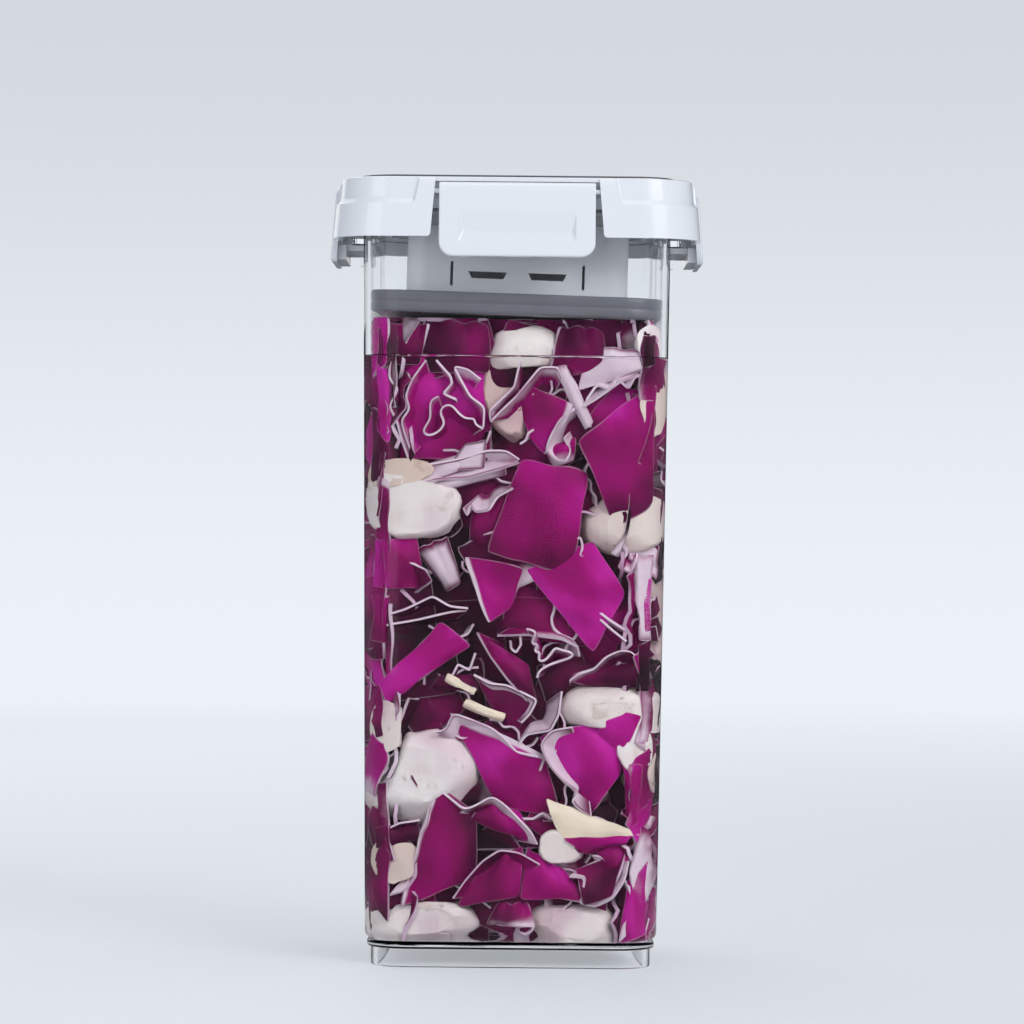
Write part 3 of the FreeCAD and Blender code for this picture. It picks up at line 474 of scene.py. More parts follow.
leaf(FRONT, ((-41, 176), (-8, 176), (-10, 212), (-46, 212)), (5.0, 5.0, 4.0, 4.0), seed=101, belly=1.4,
     ruffle=1.8, tone=0.8, pale=0.1)
leaf(FRONT, ((-51, 113), (-42, 112), (-41, 128), (-51, 129)), (1.5, 3.0, 3.0, 1.0), seed=103, ruffle=1.6,
     tone=0.55, pale=0.18)
leaf(FRONT, ((-28, 97), (-12, 96), (-13, 101), (-25, 101)), (1.4, 1.8, 1.8, 1.4), seed=105, tone=0.45)
leaf(FRONT, ((-50, 41), (-32, 42.5), (-32, 49.5), (-50, 48)), (1.0, 1.6, 2.8, 1.8), seed=107, ruffle=1.0,
     tone=0.32, pale=0.1)
leaf(FRONT, ((42, 96), (50, 96), (50, 114), (43, 112)), (1.8, 0.6, 0.6, 1.8), seed=109, tone=0.2, pale=0.02)
leaf(FRONT, ((-8, 15), (8, 14), (6, 22), (-4, 23)), (0.6, 0.8, 3.0, 2.6), seed=111, ruffle=1.2, tone=0.42,
     pale=0.3)
leaf(FRONT, ((12, 205), (32, 206), (30, 221), (15, 222)), (1.6, 1.2, 2.4, 2.8), seed=113, belly=1.0,
     ruffle=1.4, tone=0.34, pale=0.04)
leaf(FRONT, ((41, 208), (49, 209), (48, 219), (43, 221)), (1.6, 0.8, 1.0, 2.4), seed=115, ruffle=1.0,
     tone=0.22)
leaf(FRONT, ((-50, 207), (-33, 209), (-30, 223), (-49, 222)), (0.6, 1.6, 2.8, 1.2), seed=117, belly=1.2,
     ruffle=1.8, tone=0.36, pale=0.22)
leaf(FRONT, ((-33, 206), (-9, 206), (-10, 223), (-32, 224)), (1.6, 1.8, 3.0, 2.6), seed=119, belly=1.2,
     ruffle=1.6, tone=0.2, pale=0.08)
leaf(FRONT, ((-9, 196), (6, 199), (8, 211), (-10, 211)), (6.0, 6.0, 5.0, 5.0), seed=121, tone=0.1, pale=0.02)
# ... then the ones that show a winding cut edge, ...
for seed, (path, depth, reach, lean, tone, pale) in enumerate((
    (((-31, 210), (-36, 203), (-38, 197.5), (-36.5, 193), (-39.5, 189), (-38, 184), (-35.5, 177)), 0.5, 11,
      (6, -3), 0.78, 0.25),
    (((-43.5, 210), (-44.5, 204), (-40.5, 200), (-44, 194), (-41, 189), (-39, 182), (-36.5, 175)), 0.4, 11,
      (6, -2), 0.82, 0.25),
    (((-27.5, 210), (-22.5, 204.5), (-22, 202), (-25, 198.5), (-20.5, 196.5)), 0.8, 10, (3, -6), 0.76, 0.25),
    (((-26.5, 197.5), (-29.5, 196.5), (-29.5, 192.5), (-29, 190), (-32.5, 185), (-29.5, 183.5), (-25.5, 186),
      (-24, 188.5), (-26.5, 192), (-25, 194.5), (-22, 195), (-20, 192), (-17, 189.5), (-13.5, 190.5),
      (-14.5, 188), (-11, 186.5)), 0.5, 9, (2, -5), 0.74, 0.25),
    (((-11, 187), (-10.7, 194), (-13.5, 196), (-15.7, 197.5), (-19, 203.5), (-21.5, 208), (-16.5, 207),
      (-12, 203.5)), 0.5, 9, (-3, -5), 0.8, 0.25),
    (((-37, 172.5), (-29.5, 174), (-19, 176), (-9.5, 179), (-3, 179), (1.5, 176)), 0.4, 8, (1, -5), 0.62,
      0.9),
    (((-34.5, 166), (-27.5, 168.5), (-16.5, 169.2), (-6.5, 172), (1.5, 174.8)), 0.6, 7, (1, 5), 0.62, 0.7),
    (((1.5, 210), (-0.5, 201), (-5.5, 196), (-9, 192.7), (-8.5, 189)), 0.9, 9, (4, -3), 0.52, 0.25),
    (((-8.5, 189), (-5, 192.7), (0, 197.5), (8.5, 208), (14.7, 208), (16, 204.5)), 0.8, 9, (4, -4), 0.6, 0.3),
    (((20.5, 193.7), (15.4, 190), (12, 183.7), (10.6, 179), (14, 175.5), (17.5, 175), (19.2, 179),
      (16.8, 183.7)), 0.4, 7, (3, 3), 0.66, 0.7),
    (((23, 194), (28.5, 197.5), (36, 203), (43, 205.8), (45.8, 203.7)), 0.4, 8, (-2, 4), 0.66, 0.4),
    (((24.5, 196.8), (28, 202), (32.7, 200), (35, 204.5), (39, 200.5), (41, 205), (44.5, 205.5)), 1.0, 7,
      (-1, 4), 0.6, 0.5),
    (((-17.7, 159), (-16.3, 156), (-15.3, 160.3), (-13.6, 157.5), (-8.8, 158.2), (-6, 163), (-0.5, 166)), 1.4,
      7, (1, 4), 0.6, 0.6),
    (((-43.5, 122), (-37.7, 123.7), (-28, 128.5), (-22, 125), (-15.7, 124.4)), 1.2, 9, (1, -4), 0.36, 0.2),
    (((-44.6, 118.2), (-33, 120.3), (-22, 123), (-16.3, 123.7)), 2.0, 9, (1, -4), 0.36, 0.2),
    (((-5.5, 115), (5, 115.4), (17, 114), (22.5, 111.3)), 2.2, 8, (0, 5), 0.42, 0.25),
    (((-1, 113.4), (-0.7, 110.6), (1, 109.3), (2.7, 112), (2.4, 114.8)), 1.8, 8, (1, -3), 0.4, 0.25),
    (((4.5, 117.5), (8.6, 116.8), (5.5, 112), (9.3, 112.7), (6.5, 109.3), (10, 110), (7.9, 106.5),
      (10.7, 105.8), (13.4, 109.3), (14.5, 112), (16.2, 110), (20.3, 110), (21.7, 108.2), (16.2, 106.5),
      (12, 105), (8.6, 103), (8.3, 100.6)), 1.0, 8, (1, -3), 0.5, 0.25),
    (((19.6, 99.6), (22.4, 102), (28, 103.7), (32, 108), (37, 110.3), (41, 110), (43.8, 107.5), (48, 103.7)),
      0.8, 8, (1, -6), 0.4, 0.25),
    (((-26.8, 81.7), (-23.3, 82), (-20.6, 88.2), (-14.3, 86), (-6.8, 83), (-2, 79), (1.5, 74.8), (9, 73.4)),
      0.6, 7, (-1, -4), 0.58, 0.9),
    (((20.8, 83.7), (13.3, 82.4), (9.5, 77.5), (12.6, 70.6), (17.4, 65), (23, 61), (22.2, 59), (20.2, 58.2),
      (23.6, 54.8), (27.7, 52.7)), 0.5, 7, (4, 2), 0.6, 0.7),
    (((2.2, 77.5), (5, 81), (13.3, 82.4), (16, 88), (17, 96)), 1.4, 8, (-2, 2), 0.5, 0.8),
    (((-26, 62), (-28.8, 54.8), (-29.5, 50), (-32, 44.4), (-32.6, 37.5), (-33.7, 30.6), (-36.4, 26.5),
      (-42.6, 24.7)), 0.4, 7, (5, 1), 0.56, 0.9),
    (((-25.4, 62), (-20.6, 58.2), (-16.4, 54.8), (-13, 56), (-6.8, 59.6), (-2.6, 56.8), (3, 51.3), (7, 47.2),
      (9, 43)), 0.9, 8, (-1, -5), 0.52, 0.4),
    (((20.2, 32), (25.7, 31.6), (24.6, 26.5), (26.4, 24.4), (23, 23), (29, 21.3), (35.3, 24.4), (39.5, 31.3),
      (41, 37.5)), 0.4, 9, (-1, 5), 0.4, 0.4),
    (((39.8, 29.6), (41.5, 25.8), (41.2, 20.3), (38.8, 14.7), (37.7, 10.3)), 0.4, 7, (5, 0), 0.62, 0.5),
    (((-49, 48.2), (-46, 49.2), (-44, 47.5), (-38.5, 50), (-31.6, 51)), 0.8, 8, (0, -5), 0.34, 0.2),
    (((29, 124), (33, 121), (38.5, 117.5)), 0.8, 8, (-1, -3), 0.52, 0.3),
    (((30, 121), (34, 117.5), (39, 113.5)), 1.2, 8, (-1, -3), 0.46, 0.2),
    (((-21, 101), (-19, 105), (-15, 103), (-13, 109)), 1.6, 8, (1, -3), 0.5, 0.2),
    (((-12.5, 116), (-8, 108), (-2, 100), (5, 92.5)), 1.6, 8, (4, 3), 0.52, 0.1),
    (((-13.5, 101.5), (-8, 98.5), (-2, 98), (8.5, 93), (6, 88), (3, 85)), 1.2, 7, (-1, -4), 0.56, 0.9),
    (((36.5, 148), (39, 144), (36, 139), (40, 137), (42.5, 142)), 1.2, 7, (1, 4), 0.56, 0.3),
    (((-20, 24), (-16, 30), (-10, 37), (-4, 41), (3, 40), (10, 36)), 1.0, 7, (1, -5), 0.5, 0.1),
    (((-48, 118), (-45, 112), (-47, 105), (-44, 98)), 1.2, 8, (3, 0), 0.62, 0.2),
), start=1):
    edge(FRONT, path, depth, reach, lean, seed, tone, pale)
# ... a slice and two sticks of cream-white core, with a leaf under the slice, ...
leaf(FRONT, ((11, 59), (18, 44), (46, 46.5), (31, 51.8)), (0.8, 0.6, 0.3, 0.8), seed=123, belly=0.6, pale=1.0,
     cream=1.0)
leaf(FRONT, ((18, 45), (24, 41), (39, 43.5), (43, 47)), (0.2, 0.2, 0.0, 0.0), seed=125, tone=0.62)
leaf(FRONT, ((-23.5, 99.5), (-22.5, 101.5), (-12.5, 96.5), (-13.5, 94.5)), (0.1, 0.1, 0.2, 0.2), seed=127,
     pale=1.0, cream=1.0)
leaf(FRONT, ((-17, 90.5), (-16, 92.5), (-2.5, 87.5), (-3.5, 85.5)), (0.1, 0.1, 0.2, 0.2), seed=129, pale=1.0,
     cream=1.0)
# ... and scraps at random in the gaps.
FRONT_SCRAPS = 46
rng = random.Random(29)
for number in range(FRONT_SCRAPS):
    spot = (rng.uniform(-44, 44), 18 + 4.4 * number + rng.uniform(-6, 6))
    random_edge(FRONT, spot, rng.uniform(0, math.tau), rng.randrange(3, 10), rng.uniform(2, 5),
                rng.uniform(0.6, 1.8), rng, depth=rng.uniform(3.0, 5.5),
                lean=(rng.uniform(-4, 4), rng.uniform(-6, 3)),
                tone=rng.uniform(0.25, 0.55), pale=rng.choice((0.15, 0.25, 0.6)))


def turned_corners(across, height, turn, reaches):
    """A piece's four corners about its middle, at the half width and half height each reaches."""
    corners = []
    for (a, b), (wide, tall) in zip(((-1, -1), (1, -1), (1, 1), (-1, 1)), reaches):
        a, b = a * wide, b * tall
        corners.append((across + a * math.cos(turn) - b * math.sin(turn),
                        height + a * math.sin(turn) + b * math.cos(turn)))
    return corners


# The other three walls, and the pieces behind the outer layer on all four.
rng = random.Random(41)
for side in (RIGHT, BACK, LEFT):
    for row in range(13):
        for column in range(5):
            across = -40 + 20 * column + rng.uniform(-6, 6)
            height = 20 + 16.6 * row + rng.uniform(-5, 5)
            wide, tall = rng.uniform(9, 16), rng.uniform(9, 17)
            turn = rng.uniform(0, math.tau)
            seed = rng.randrange(1000)
            deep = rng.uniform(0, 3.5)
            if rng.random() < 0.36:
                random_edge(side, (across, height), turn, rng.randrange(3, 12), rng.uniform(3, 6),
                            rng.uniform(0.8, 2.0), rng, depth=0.5 + deep / 2,
                            lean=(rng.uniform(-5, 5), rng.uniform(-6, 4)),
                            tone=rng.uniform(0.35, 0.8), pale=rng.choice((0.1, 0.3, 0.8)))
                continue
            reaches = [(wide * rng.uniform(0.7, 1.1), tall * rng.uniform(0.7, 1.1)) for _ in range(4)]
            depths = [deep + rng.uniform(0, 2.5) for _ in range(4)]
            leaf(side, turned_corners(across, height, turn, reaches), depths, seed,
                 belly=rng.uniform(-1, 1.6), ruffle=rng.uniform(0, 1.8), folds=rng.uniform(0.8, 2),
                 curl=rng.choice((0, 0, 2, 4)), tone=rng.uniform(0.3, 0.95),
                 pale=rng.choice((0.0, 0.05, 0.1, 0.2, 0.35, 0.5)), lip=rng.choice((0, 0, 0.5, 1)))
# The pieces behind the outer layer get low tones, painted dark as shade deep in the heap.
for side in (FRONT, RIGHT, BACK, LEFT):
    for row in range(14):
        for column in range(5):
            across = -36 + 18 * column + rng.uniform(-6, 6)
            height = 19 + 15.6 * row + rng.uniform(-5, 5)
            wide, tall = rng.uniform(10, 15), rng.uniform(10, 15)
            turn = rng.uniform(0, math.tau)
            deep = rng.uniform(7, 13)
            depths = [deep + rng.uniform(-5, 5) for _ in range(4)]
            leaf(side, turned_corners(across, height, turn, [(wide, tall)] * 4), depths, rng.randrange(1000),
                 belly=rng.uniform(-1.5, 1.5), ruffle=rng.uniform(0.5, 2.5), sheet=coarse_sheet,
                 tone=rng.uniform(0.1, 0.5), pale=rng.choice((0.0, 0.05, 0.1, 0.3)))


def noted(tree, name):
    """What note() left on a mesh."""
    return tree.node("Attribute", {"attribute_name": name}, output=2)


def leaf_skin():
    """Purple waxy skin with fine veins, painted lighter and darker for light and shade, over flesh that shows
    lilac-white near the rib.
    """
    finish, tree = new_finish("cabbage_skin")
    own_pale, own_lip, own_cream = noted(tree, "pale"), noted(tree, "lip"), noted(tree, "cream")
    spot = tree.node("UVMap", {"uv_map": "UVMap"})
    across = tree.node("SeparateXYZ", {}, {0: spot}, output="X")
    up = tree.node("SeparateXYZ", {}, {0: spot}, output="Y")
    cloud = patches(tree, 0.009, detail=3)
    broad = patches(tree, 0.018, detail=1)
    fine = patches(tree, 0.0022, detail=3)
    along = tree.node("Mapping", {}, {"Vector": spot, "Scale": (2.2, 0.7, 1)})
    streak = tree.node("TexNoise", {}, {"Vector": along, "Scale": 2.0, "Detail": 2.0})
    # Painted light and shade: on top of the piece's tone, the cloud and the broad patches mix the skin's own
    # uneven colour with painted shading over the leaf's curves, and the root end is painted darker than the
    # tip.
    shade = (noted(tree, "tone") + 0.7 * (cloud - 0.5) + 1.1 * (broad - 0.5) + 0.22 * (streak - 0.5)
             + 0.16 * (up - 0.5))
    skin = tree.node("ValToRGB", {"stops": (
        (0.0, (0.016, 0.001, 0.008)), (0.28, (0.085, 0.001, 0.038)), (0.52, (0.225, 0.001, 0.096)),
        (0.76, (0.360, 0.001, 0.182)), (1.0, (0.540, 0.014, 0.350)))}, {0: shade})
    flesh = blend(tree, fine, (0.62, 0.46, 0.60), (0.78, 0.70, 0.74))
    flesh = blend(tree, own_cream, flesh, blend(tree, fine, (0.84, 0.70, 0.50), (0.90, 0.83, 0.72)))
    veined = blend(tree, step_up(tree, streak, 0.58, 0.80) * 0.02, skin, flesh)
    # Flesh shows where the rib is bare, on the tip's lip and in a fine line along the cut.
    to_side = tree.maths("MINIMUM", across, 1.0 - across)
    to_edge = tree.maths("MINIMUM", to_side, tree.maths("MINIMUM", up, 1.0 - up))
    bled = step_up(tree, to_edge + 0.5 * (broad - 0.5) + 0.2 * own_cream, -0.05, 0.12)
    bare = step_up(tree, own_pale * 1.25 - up * 0.5 + 0.9 * (cloud - 0.5), 0.22, 0.46) * bled
    lip = (step_up(tree, up + 0.10 * (cloud - 0.5) + 0.12 * own_lip, 1.0, 1.06)
           * step_up(tree, own_lip, 0.0, 0.3))
    cut = step_up(tree, to_edge + 0.03 * (cloud - 0.5), 0.016, 0.002) * (0.25 + own_pale)
    colour = blend(tree, tree.maths("MAXIMUM", bare, tree.maths("MAXIMUM", lip, cut)), veined, flesh)
    set_surface(tree, tree.node("BsdfPrincipled", {}, {
        "Base Color": colour, "Roughness": 0.34 + 0.2 * fine, "Specular IOR Level": 0.06,
        "Normal": bump(tree, fine * 0.4 + streak, 0.0005, 0.5)}))
    return finish


def leaf_cut():
    """The cut edge: wet lilac-white flesh between two purple skins."""
    finish, tree = new_finish("cabbage_cut_edge")
    fine = patches(tree, 0.0012, detail=2)
    stain = patches(tree, 0.007, detail=2)
    white = blend(tree, step_up(tree, noted(tree, "pale"), -0.1, 0.3), (0.50, 0.27, 0.45), (0.72, 0.58, 0.70))
    colour = blend(tree, step_up(tree, stain, 0.5, 0.8), white, (0.46, 0.18, 0.38))
    set_surface(tree, tree.node("BsdfPrincipled", {}, {
        "Base Color": blend(tree, fine * 0.4, colour, (0.78, 0.71, 0.76)),
        "Roughness": 0.35 + 0.2 * fine, "Specular IOR Level": 0.15,
        "Normal": bump(tree, fine, 0.0001, 0.4)}))
    return finish


def only(piece):
    """Selects that piece alone."""
    bpy.ops.object.select_all(action="DESELECT")
    piece.select_set(True)
    bpy.context.view_layer.objects.active = piece


def join(pieces):
    """Joins pieces into the first of them."""
    only(pieces[0])
    for piece in pieces:
        piece.select_set(True)
    bpy.ops.object.join()
    return bpy.context.object


def paint(piece, *finishes):
    """Gives a new piece its finishes, in place of any that it has."""
    piece.data.materials.clear()
    for finish in finishes:
        piece.data.materials.append(finish)


skin_and_cut = leaf_skin(), leaf_cut()
for name in SIDE_NAMES:
    layers = []
    for pieces, thickness in ((leaf_pieces[name], LEAF_THICKNESS), (edge_pieces[name], EDGE_THICKNESS)):
        layer = join(pieces)
        paint(layer, *skin_and_cut)
        thicken = layer.modifiers.new("leaf_thickness", "SOLIDIFY")
        thicken.thickness = thickness * MM
        thicken.offset = 0
        thicken.material_offset_rim = 1
        bpy.ops.object.modifier_apply(modifier=thicken.name)
        layers.append(layer)
    cabbage = join(layers)
    cabbage.name = "red_cabbage_" + name
    bpy.ops.object.shade_smooth_by_angle(angle=math.radians(50))
    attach(cabbage, "jar")
    if name == "front":
        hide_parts("vegetables")

# Core of the heap. Packed shreds too deep to tell apart, as one rough lump between
# the four layers of leaves, painted near black for the shade deep inside the heap.
CORE_MIDDLE, CORE_SIZE = (0, 0, 0.1195), (0.066, 0.066, 0.206)
noise.seed_set(5)       # without this, noise_vector changes from run to run
bpy.ops.object.select_all(action="DESELECT")
bpy.ops.mesh.primitive_cube_add(size=1, location=CORE_MIDDLE, scale=CORE_SIZE)
core = bpy.context.object
core.name = "packed_core"
bpy.ops.object.transform_apply(location=True, rotation=True, scale=True)
bpy.ops.object.mode_set(mode="EDIT")
bpy.ops.mesh.select_all(action="SELECT")
bpy.ops.mesh.bevel(offset=0.012, segments=3, affect="EDGES")
bpy.ops.mesh.subdivide(number_cuts=5)
bpy.ops.object.mode_set(mode="OBJECT")
for point in core.data.vertices:
    lump, shred = noise.noise_vector(point.co * 90), noise.noise_vector(point.co * 260)
    point.co += lump * 0.005 + shred * 0.0018
    point.co.z = min(point.co.z, HEAP_TOP * MM)
bpy.ops.object.shade_smooth()
shreds, tree = new_finish("packed_shreds")
cloud = patches(tree, 0.006, detail=4)
# Painted shade: the core's colour is near-black purple, for the dark deep in the heap.
set_surface(tree, tree.node("BsdfPrincipled", {}, {
    "Base Color": blend(tree, cloud, (0.010, 0.001, 0.005), (0.060, 0.002, 0.026)),
    "Roughness": 0.4 + 0.2 * cloud, "Specular IOR Level": 0.1, "Normal": bump(tree, cloud, 0.002, 0.8)}))
paint(core, shreds)
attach(core, "jar")

# Mushrooms. Fresh white mushrooms cut in chunks, with a thin tan skin outside and
# dense pale flesh on the cut faces, bruised brown here and there.
mushroom_pieces = []
MUSHROOM_CLEARANCE = 0.3
FRONT_CUT = ((0, -1, 0), 0.12)      # a flat face on the wall's side, near the middle


def mushroom(side, middle, radii, deep, turn, cuts, seed, cap):
    """A chunk of mushroom: a rounded body of those radii, across, inward and up, cut by planes that
    are given as (normal, distance) on a ball of radius 1, and then turned on its side of the jar."""
    bpy.ops.object.select_all(action="DESELECT")
    bpy.ops.mesh.primitive_uv_sphere_add(segments=40, ring_count=20, radius=1)
    chunk = bpy.context.object
    bpy.ops.object.mode_set(mode="EDIT")
    cuts = [(Vector(normal).normalized(), distance) for normal, distance in cuts]
    for normal, distance in cuts:
        bpy.ops.mesh.select_all(action="SELECT")
        bpy.ops.mesh.bisect(plane_co=normal * distance, plane_no=normal, use_fill=True, clear_outer=True)
    bpy.ops.mesh.select_all(action="DESELECT")
    bpy.ops.mesh.edges_select_sharp(sharpness=math.radians(30))
    bpy.ops.mesh.bevel(offset=0.05, segments=3)
    bpy.ops.mesh.select_all(action="SELECT")
    bpy.ops.mesh.quads_convert_to_tris()
    bpy.ops.object.mode_set(mode="OBJECT")
    mesh = chunk.data
    mesh.materials.append(None)
    mesh.materials.append(None)
    for face in mesh.polygons:
        face.material_index = int(any(face.normal.dot(normal) > 0.97 for normal, _ in cuts))
    spots = points_of(mesh)
    lumps = np.array([noise.noise_vector(Vector(spot) * 1.3 + Vector((seed * 3.7, 0, 0))) for spot in spots])
    dents = np.array([noise.noise_vector(Vector(spot) * 4.5 + Vector((seed, 0, 0))) for spot in spots])
    across, inward, up = (spots * (1 + 0.17 * lumps + 0.05 * dents)).T * np.array(radii)[:, None]
    turn = math.radians(turn)
    points = place_on_side(middle[0] + across * math.cos(turn) - up * math.sin(turn), deep + inward,
                           middle[1] + across * math.sin(turn) + up * math.cos(turn), side)
    mesh.vertices.foreach_set("co", (press_inside(points, MUSHROOM_CLEARANCE) * MM).ravel())
    note(mesh, "cap", cap)
    mushroom_pieces.append(chunk)


for middle, radii, deep, turn, cuts, seed, cap in (
    ((2.5, 212.5), (13, 10, 10.5), 10.5, 6, (((0, 0, -1), 0.45), ((0, -1, -0.2), 0.93)), 3, 0.3),
    ((-36, 160), (18, 9, 12), 5.2, -8, (((0, -1, 0), 0.62), ((0.1, 0, 1), 0.72)), 1, 0.15),
    ((-41, 171), (13, 8, 5), 3.0, 6, (((0, -1, 0), 0.5),), 4, 1.0),
    ((-31.5, 67), (19.5, 12, 17), 10.0, 14, (((-0.1, -1, 0.1), 0.86), ((-0.9, -0.3, 0.5), 0.6)), 7, 0.05),
    ((38, 154), (15, 9, 11), 9.0, 10, (((0, -1, 0), 0.9),), 10, 0.6),
    ((34, 88.5), (19.5, 11, 11), 10.5, -4, (((0, -1, 0), 0.92), ((0, 0, -1), 0.5)), 13, 0.3),
    ((44, 76), (8, 6, 8), 1.8, 20, (FRONT_CUT,), 16, 0.1),
    ((-30, 16), (20, 11, 8), 11.0, 3, (((0, -1, 0), 0.8), ((0, 0, 1), 0.75)), 19, 0.2),
    ((23, 15), (16, 10, 8), 10.5, -5, (((0, -1, 0), 0.8),), 22, 0.2),
    ((-40.5, 37), (9, 8, 8), 2.4, 0, (FRONT_CUT, ((0, 0, 1), 0.8)), 25, 0.85),
    ((-44, 83), (8.5, 7, 9), 2.0, 0, (FRONT_CUT, ((1, 0, 0), 0.7)), 28, 0.4),
    ((17, 42), (8, 5, 6), 3.0, 0, (((0, -1, 0), 0.4),), 31, 0.3),
    ((49, 195), (6, 8, 10), 4.0, 0, (((0, -1, 0), 0.6),), 34, 0.8),
    ((-4, 196), (7, 8, 14), 10.0, 20, (((0, -1, 0), 0.6),), 37, 0.9),
    ((47, 217), (6, 6, 6), 3.0, 0, (((0, -1, 0), 0.4),), 40, 0.2),
):
    mushroom(FRONT, middle, radii, deep, turn, cuts, seed, cap)
rng = random.Random(7)
for side in (RIGHT, BACK, LEFT):
    for number in range(9):
        middle = (rng.uniform(-36, 36), 22 + 22 * number + rng.uniform(-6, 6))
        flat = rng.uniform(0.4, 0.95)
        thick = rng.uniform(7, 11)
        cuts = [((rng.uniform(-0.15, 0.15), -1, rng.uniform(-0.15, 0.15)), flat)]
        if rng.random() < 0.6:
            lean = rng.uniform(0, math.tau)
            cuts.append(((math.cos(lean), 0, math.sin(lean)), rng.uniform(0.35, 0.7)))
        mushroom(side, middle, (rng.uniform(10, 19), thick, rng.uniform(8, 14)),
                 thick * flat + rng.uniform(0, 3), rng.uniform(-40, 40), cuts, 50 + 9 * side + number,
                 cap=rng.choice((0.1, 0.25, 0.4, 0.8)))


def mushroom_finish(name, light, dark, bruise, roughness):
    """Pale fibrous flesh or skin, with brown stains and flecks, and pink where the brine dyed it."""
    finish, tree = new_finish(name)
    cloud = patches(tree, 0.008, detail=3)
    dyed = step_up(tree, patches(tree, 0.014, detail=2, start=(0.3, 0.1, 0)), 0.48, 0.72)
    fibre = patches(tree, 0.0016, detail=3, stretch=(1, 1, 0.35))
    flecks = step_up(tree, patches(tree, 0.0045, detail=5), 0.60, 0.72)
    stain = step_up(tree, cloud, 0.50, 0.78)
    gills = patches(tree, 0.0011, detail=2, stretch=(0.18, 0.18, 1.4))
    colour = blend(tree, tree.maths("MAXIMUM", noted(tree, "cap") * 0.8, stain * 0.5), light, dark)
    colour = blend(tree, dyed * 0.6, colour, (0.55, 0.30, 0.42))
    colour = blend(tree, flecks * 0.4, colour, bruise)
    colour = blend(tree, step_up(tree, gills, 0.50, 0.75) * 0.10, colour, dark)
    set_surface(tree, tree.node("BsdfPrincipled", {}, {
        "Base Color": blend(tree, fibre * 0.25, colour, light), "Roughness": roughness + 0.2 * fibre,
        "Specular IOR Level": 0.15, "Normal": bump(tree, fibre + flecks + 0.4 * gills, 0.0005, 0.5)}))
    return finish


mushrooms = join(mushroom_pieces)
mushrooms.name = "mushroom_chunks"
paint(
    mushrooms,
    mushroom_finish("mushroom_skin", (0.85, 0.815, 0.81), (0.62, 0.45, 0.35), (0.40, 0.24, 0.18), 0.35),
    mushroom_finish("mushroom_flesh", (0.90, 0.875, 0.875), (0.68, 0.54, 0.50), (0.50, 0.32, 0.24), 0.45),
)
bpy.ops.object.shade_smooth_by_angle(angle=math.radians(35))
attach(mushrooms, "jar")
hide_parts("mushroom")

# Brine. Thin pink pickling liquid, filled up to its level; its skin reaches a little
# into the wall so that no air shows between them, and creeps up at the edge.
BRINE_INTO_WALL = 0.35 * MM
MENISCUS = 1.1 * MM
BRINE_MIRROR = 0.08     # like the wall's, the share of a real mirror image


def pick_faces(piece, test):
    """In edit mode, selects the faces that pass the test on their normal."""
    bpy.ops.mesh.select_all(action="DESELECT")
    bpy.ops.object.mode_set(mode="OBJECT")
    for face in piece.data.polygons:
        face.select = test(face.normal)
    bpy.ops.object.mode_set(mode="EDIT")


brine = cad_nodes["brine"].copy()
brine.data = cad_nodes["brine"].data.copy()
brine.name = "brine_liquid"
brine.parent = None
for tag in list(brine.keys()):
    del brine[tag]
bpy.context.scene.collection.objects.link(brine)
only(brine)
bpy.ops.object.mode_set(mode="EDIT")
bpy.ops.mesh.select_all(action="SELECT")
bpy.ops.mesh.remove_doubles(threshold=1e-6)
bpy.ops.mesh.dissolve_limited(angle_limit=math.radians(0.05))
bpy.ops.mesh.select_all(action="SELECT")
bpy.ops.transform.shrink_fatten(value=BRINE_INTO_WALL, use_even_offset=True)
pick_faces(brine, lambda normal: normal.z > 0.99)
for width, drop in ((0.5, 0.45), (0.9, 0.35), (1.6, 0.2)):
    bpy.ops.mesh.inset(thickness=width * MM, use_even_offset=True)
    bpy.ops.transform.translate(value=(0, 0, -drop * MENISCUS))
bpy.ops.mesh.select_all(action="SELECT")
bpy.ops.mesh.normals_make_consistent(inside=False)
bpy.ops.object.mode_set(mode="OBJECT")
bpy.ops.object.shade_smooth_by_angle(angle=math.radians(40))
brine_finish, tree = new_finish("brine")
ripple = patches(tree, 0.009, detail=0)
liquid = tree.node("BsdfPrincipled", {}, {
    "Base Color": (1.0, 0.985, 0.99, 1), "Transmission Weight": 1.0, "IOR": 1.34, "Roughness": 0.0,
    "Specular Tint": (*[BRINE_MIRROR] * 3, 1),
    "Normal": bump(tree, ripple, 0.0002, 0.2)})
depth_tint = tree.node("VolumeAbsorption", {}, {"Color": (0.86, 0.42, 0.62, 1), "Density": 11.0})
set_surface(tree, clear_surface(tree, liquid, (1, 1, 1)), depth_tint)
paint(brine, brine_finish)
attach(brine, "jar")
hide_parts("brine")

# Bubbles. Small beads of air that the pickle gives off, caught along the walls and
# the leaves below the brine's level, mostly in a few upright lines.
BUBBLE_LINES = (-42, -34, -30, 2, 26, 38)       # mm across each side
BUBBLE_DEPTH = 0.9
BUBBLE_RADII = (0.22, 0.75)
BUBBLE_COUNT = 170
bubbles = []
rng = random.Random(19)
for _ in range(BUBBLE_COUNT):
    side, height = rng.randrange(4), rng.uniform(12, 209)
    line = rng.choice(BUBBLE_LINES) if rng.random() < 0.6 else rng.uniform(-45, 45)
    spot = place_on_side(np.array([line + rng.uniform(-3, 3)]), BUBBLE_DEPTH, np.array([height]), side)
    spot = press_inside(spot, BUBBLE_DEPTH)[0]
    bpy.ops.object.select_all(action="DESELECT")
    radius = rng.uniform(*BUBBLE_RADII) * MM
    bpy.ops.mesh.primitive_ico_sphere_add(subdivisions=2, radius=radius, location=spot * MM)
    bpy.ops.object.transform_apply(location=True, rotation=True, scale=True)
    bubbles.append(bpy.context.object)
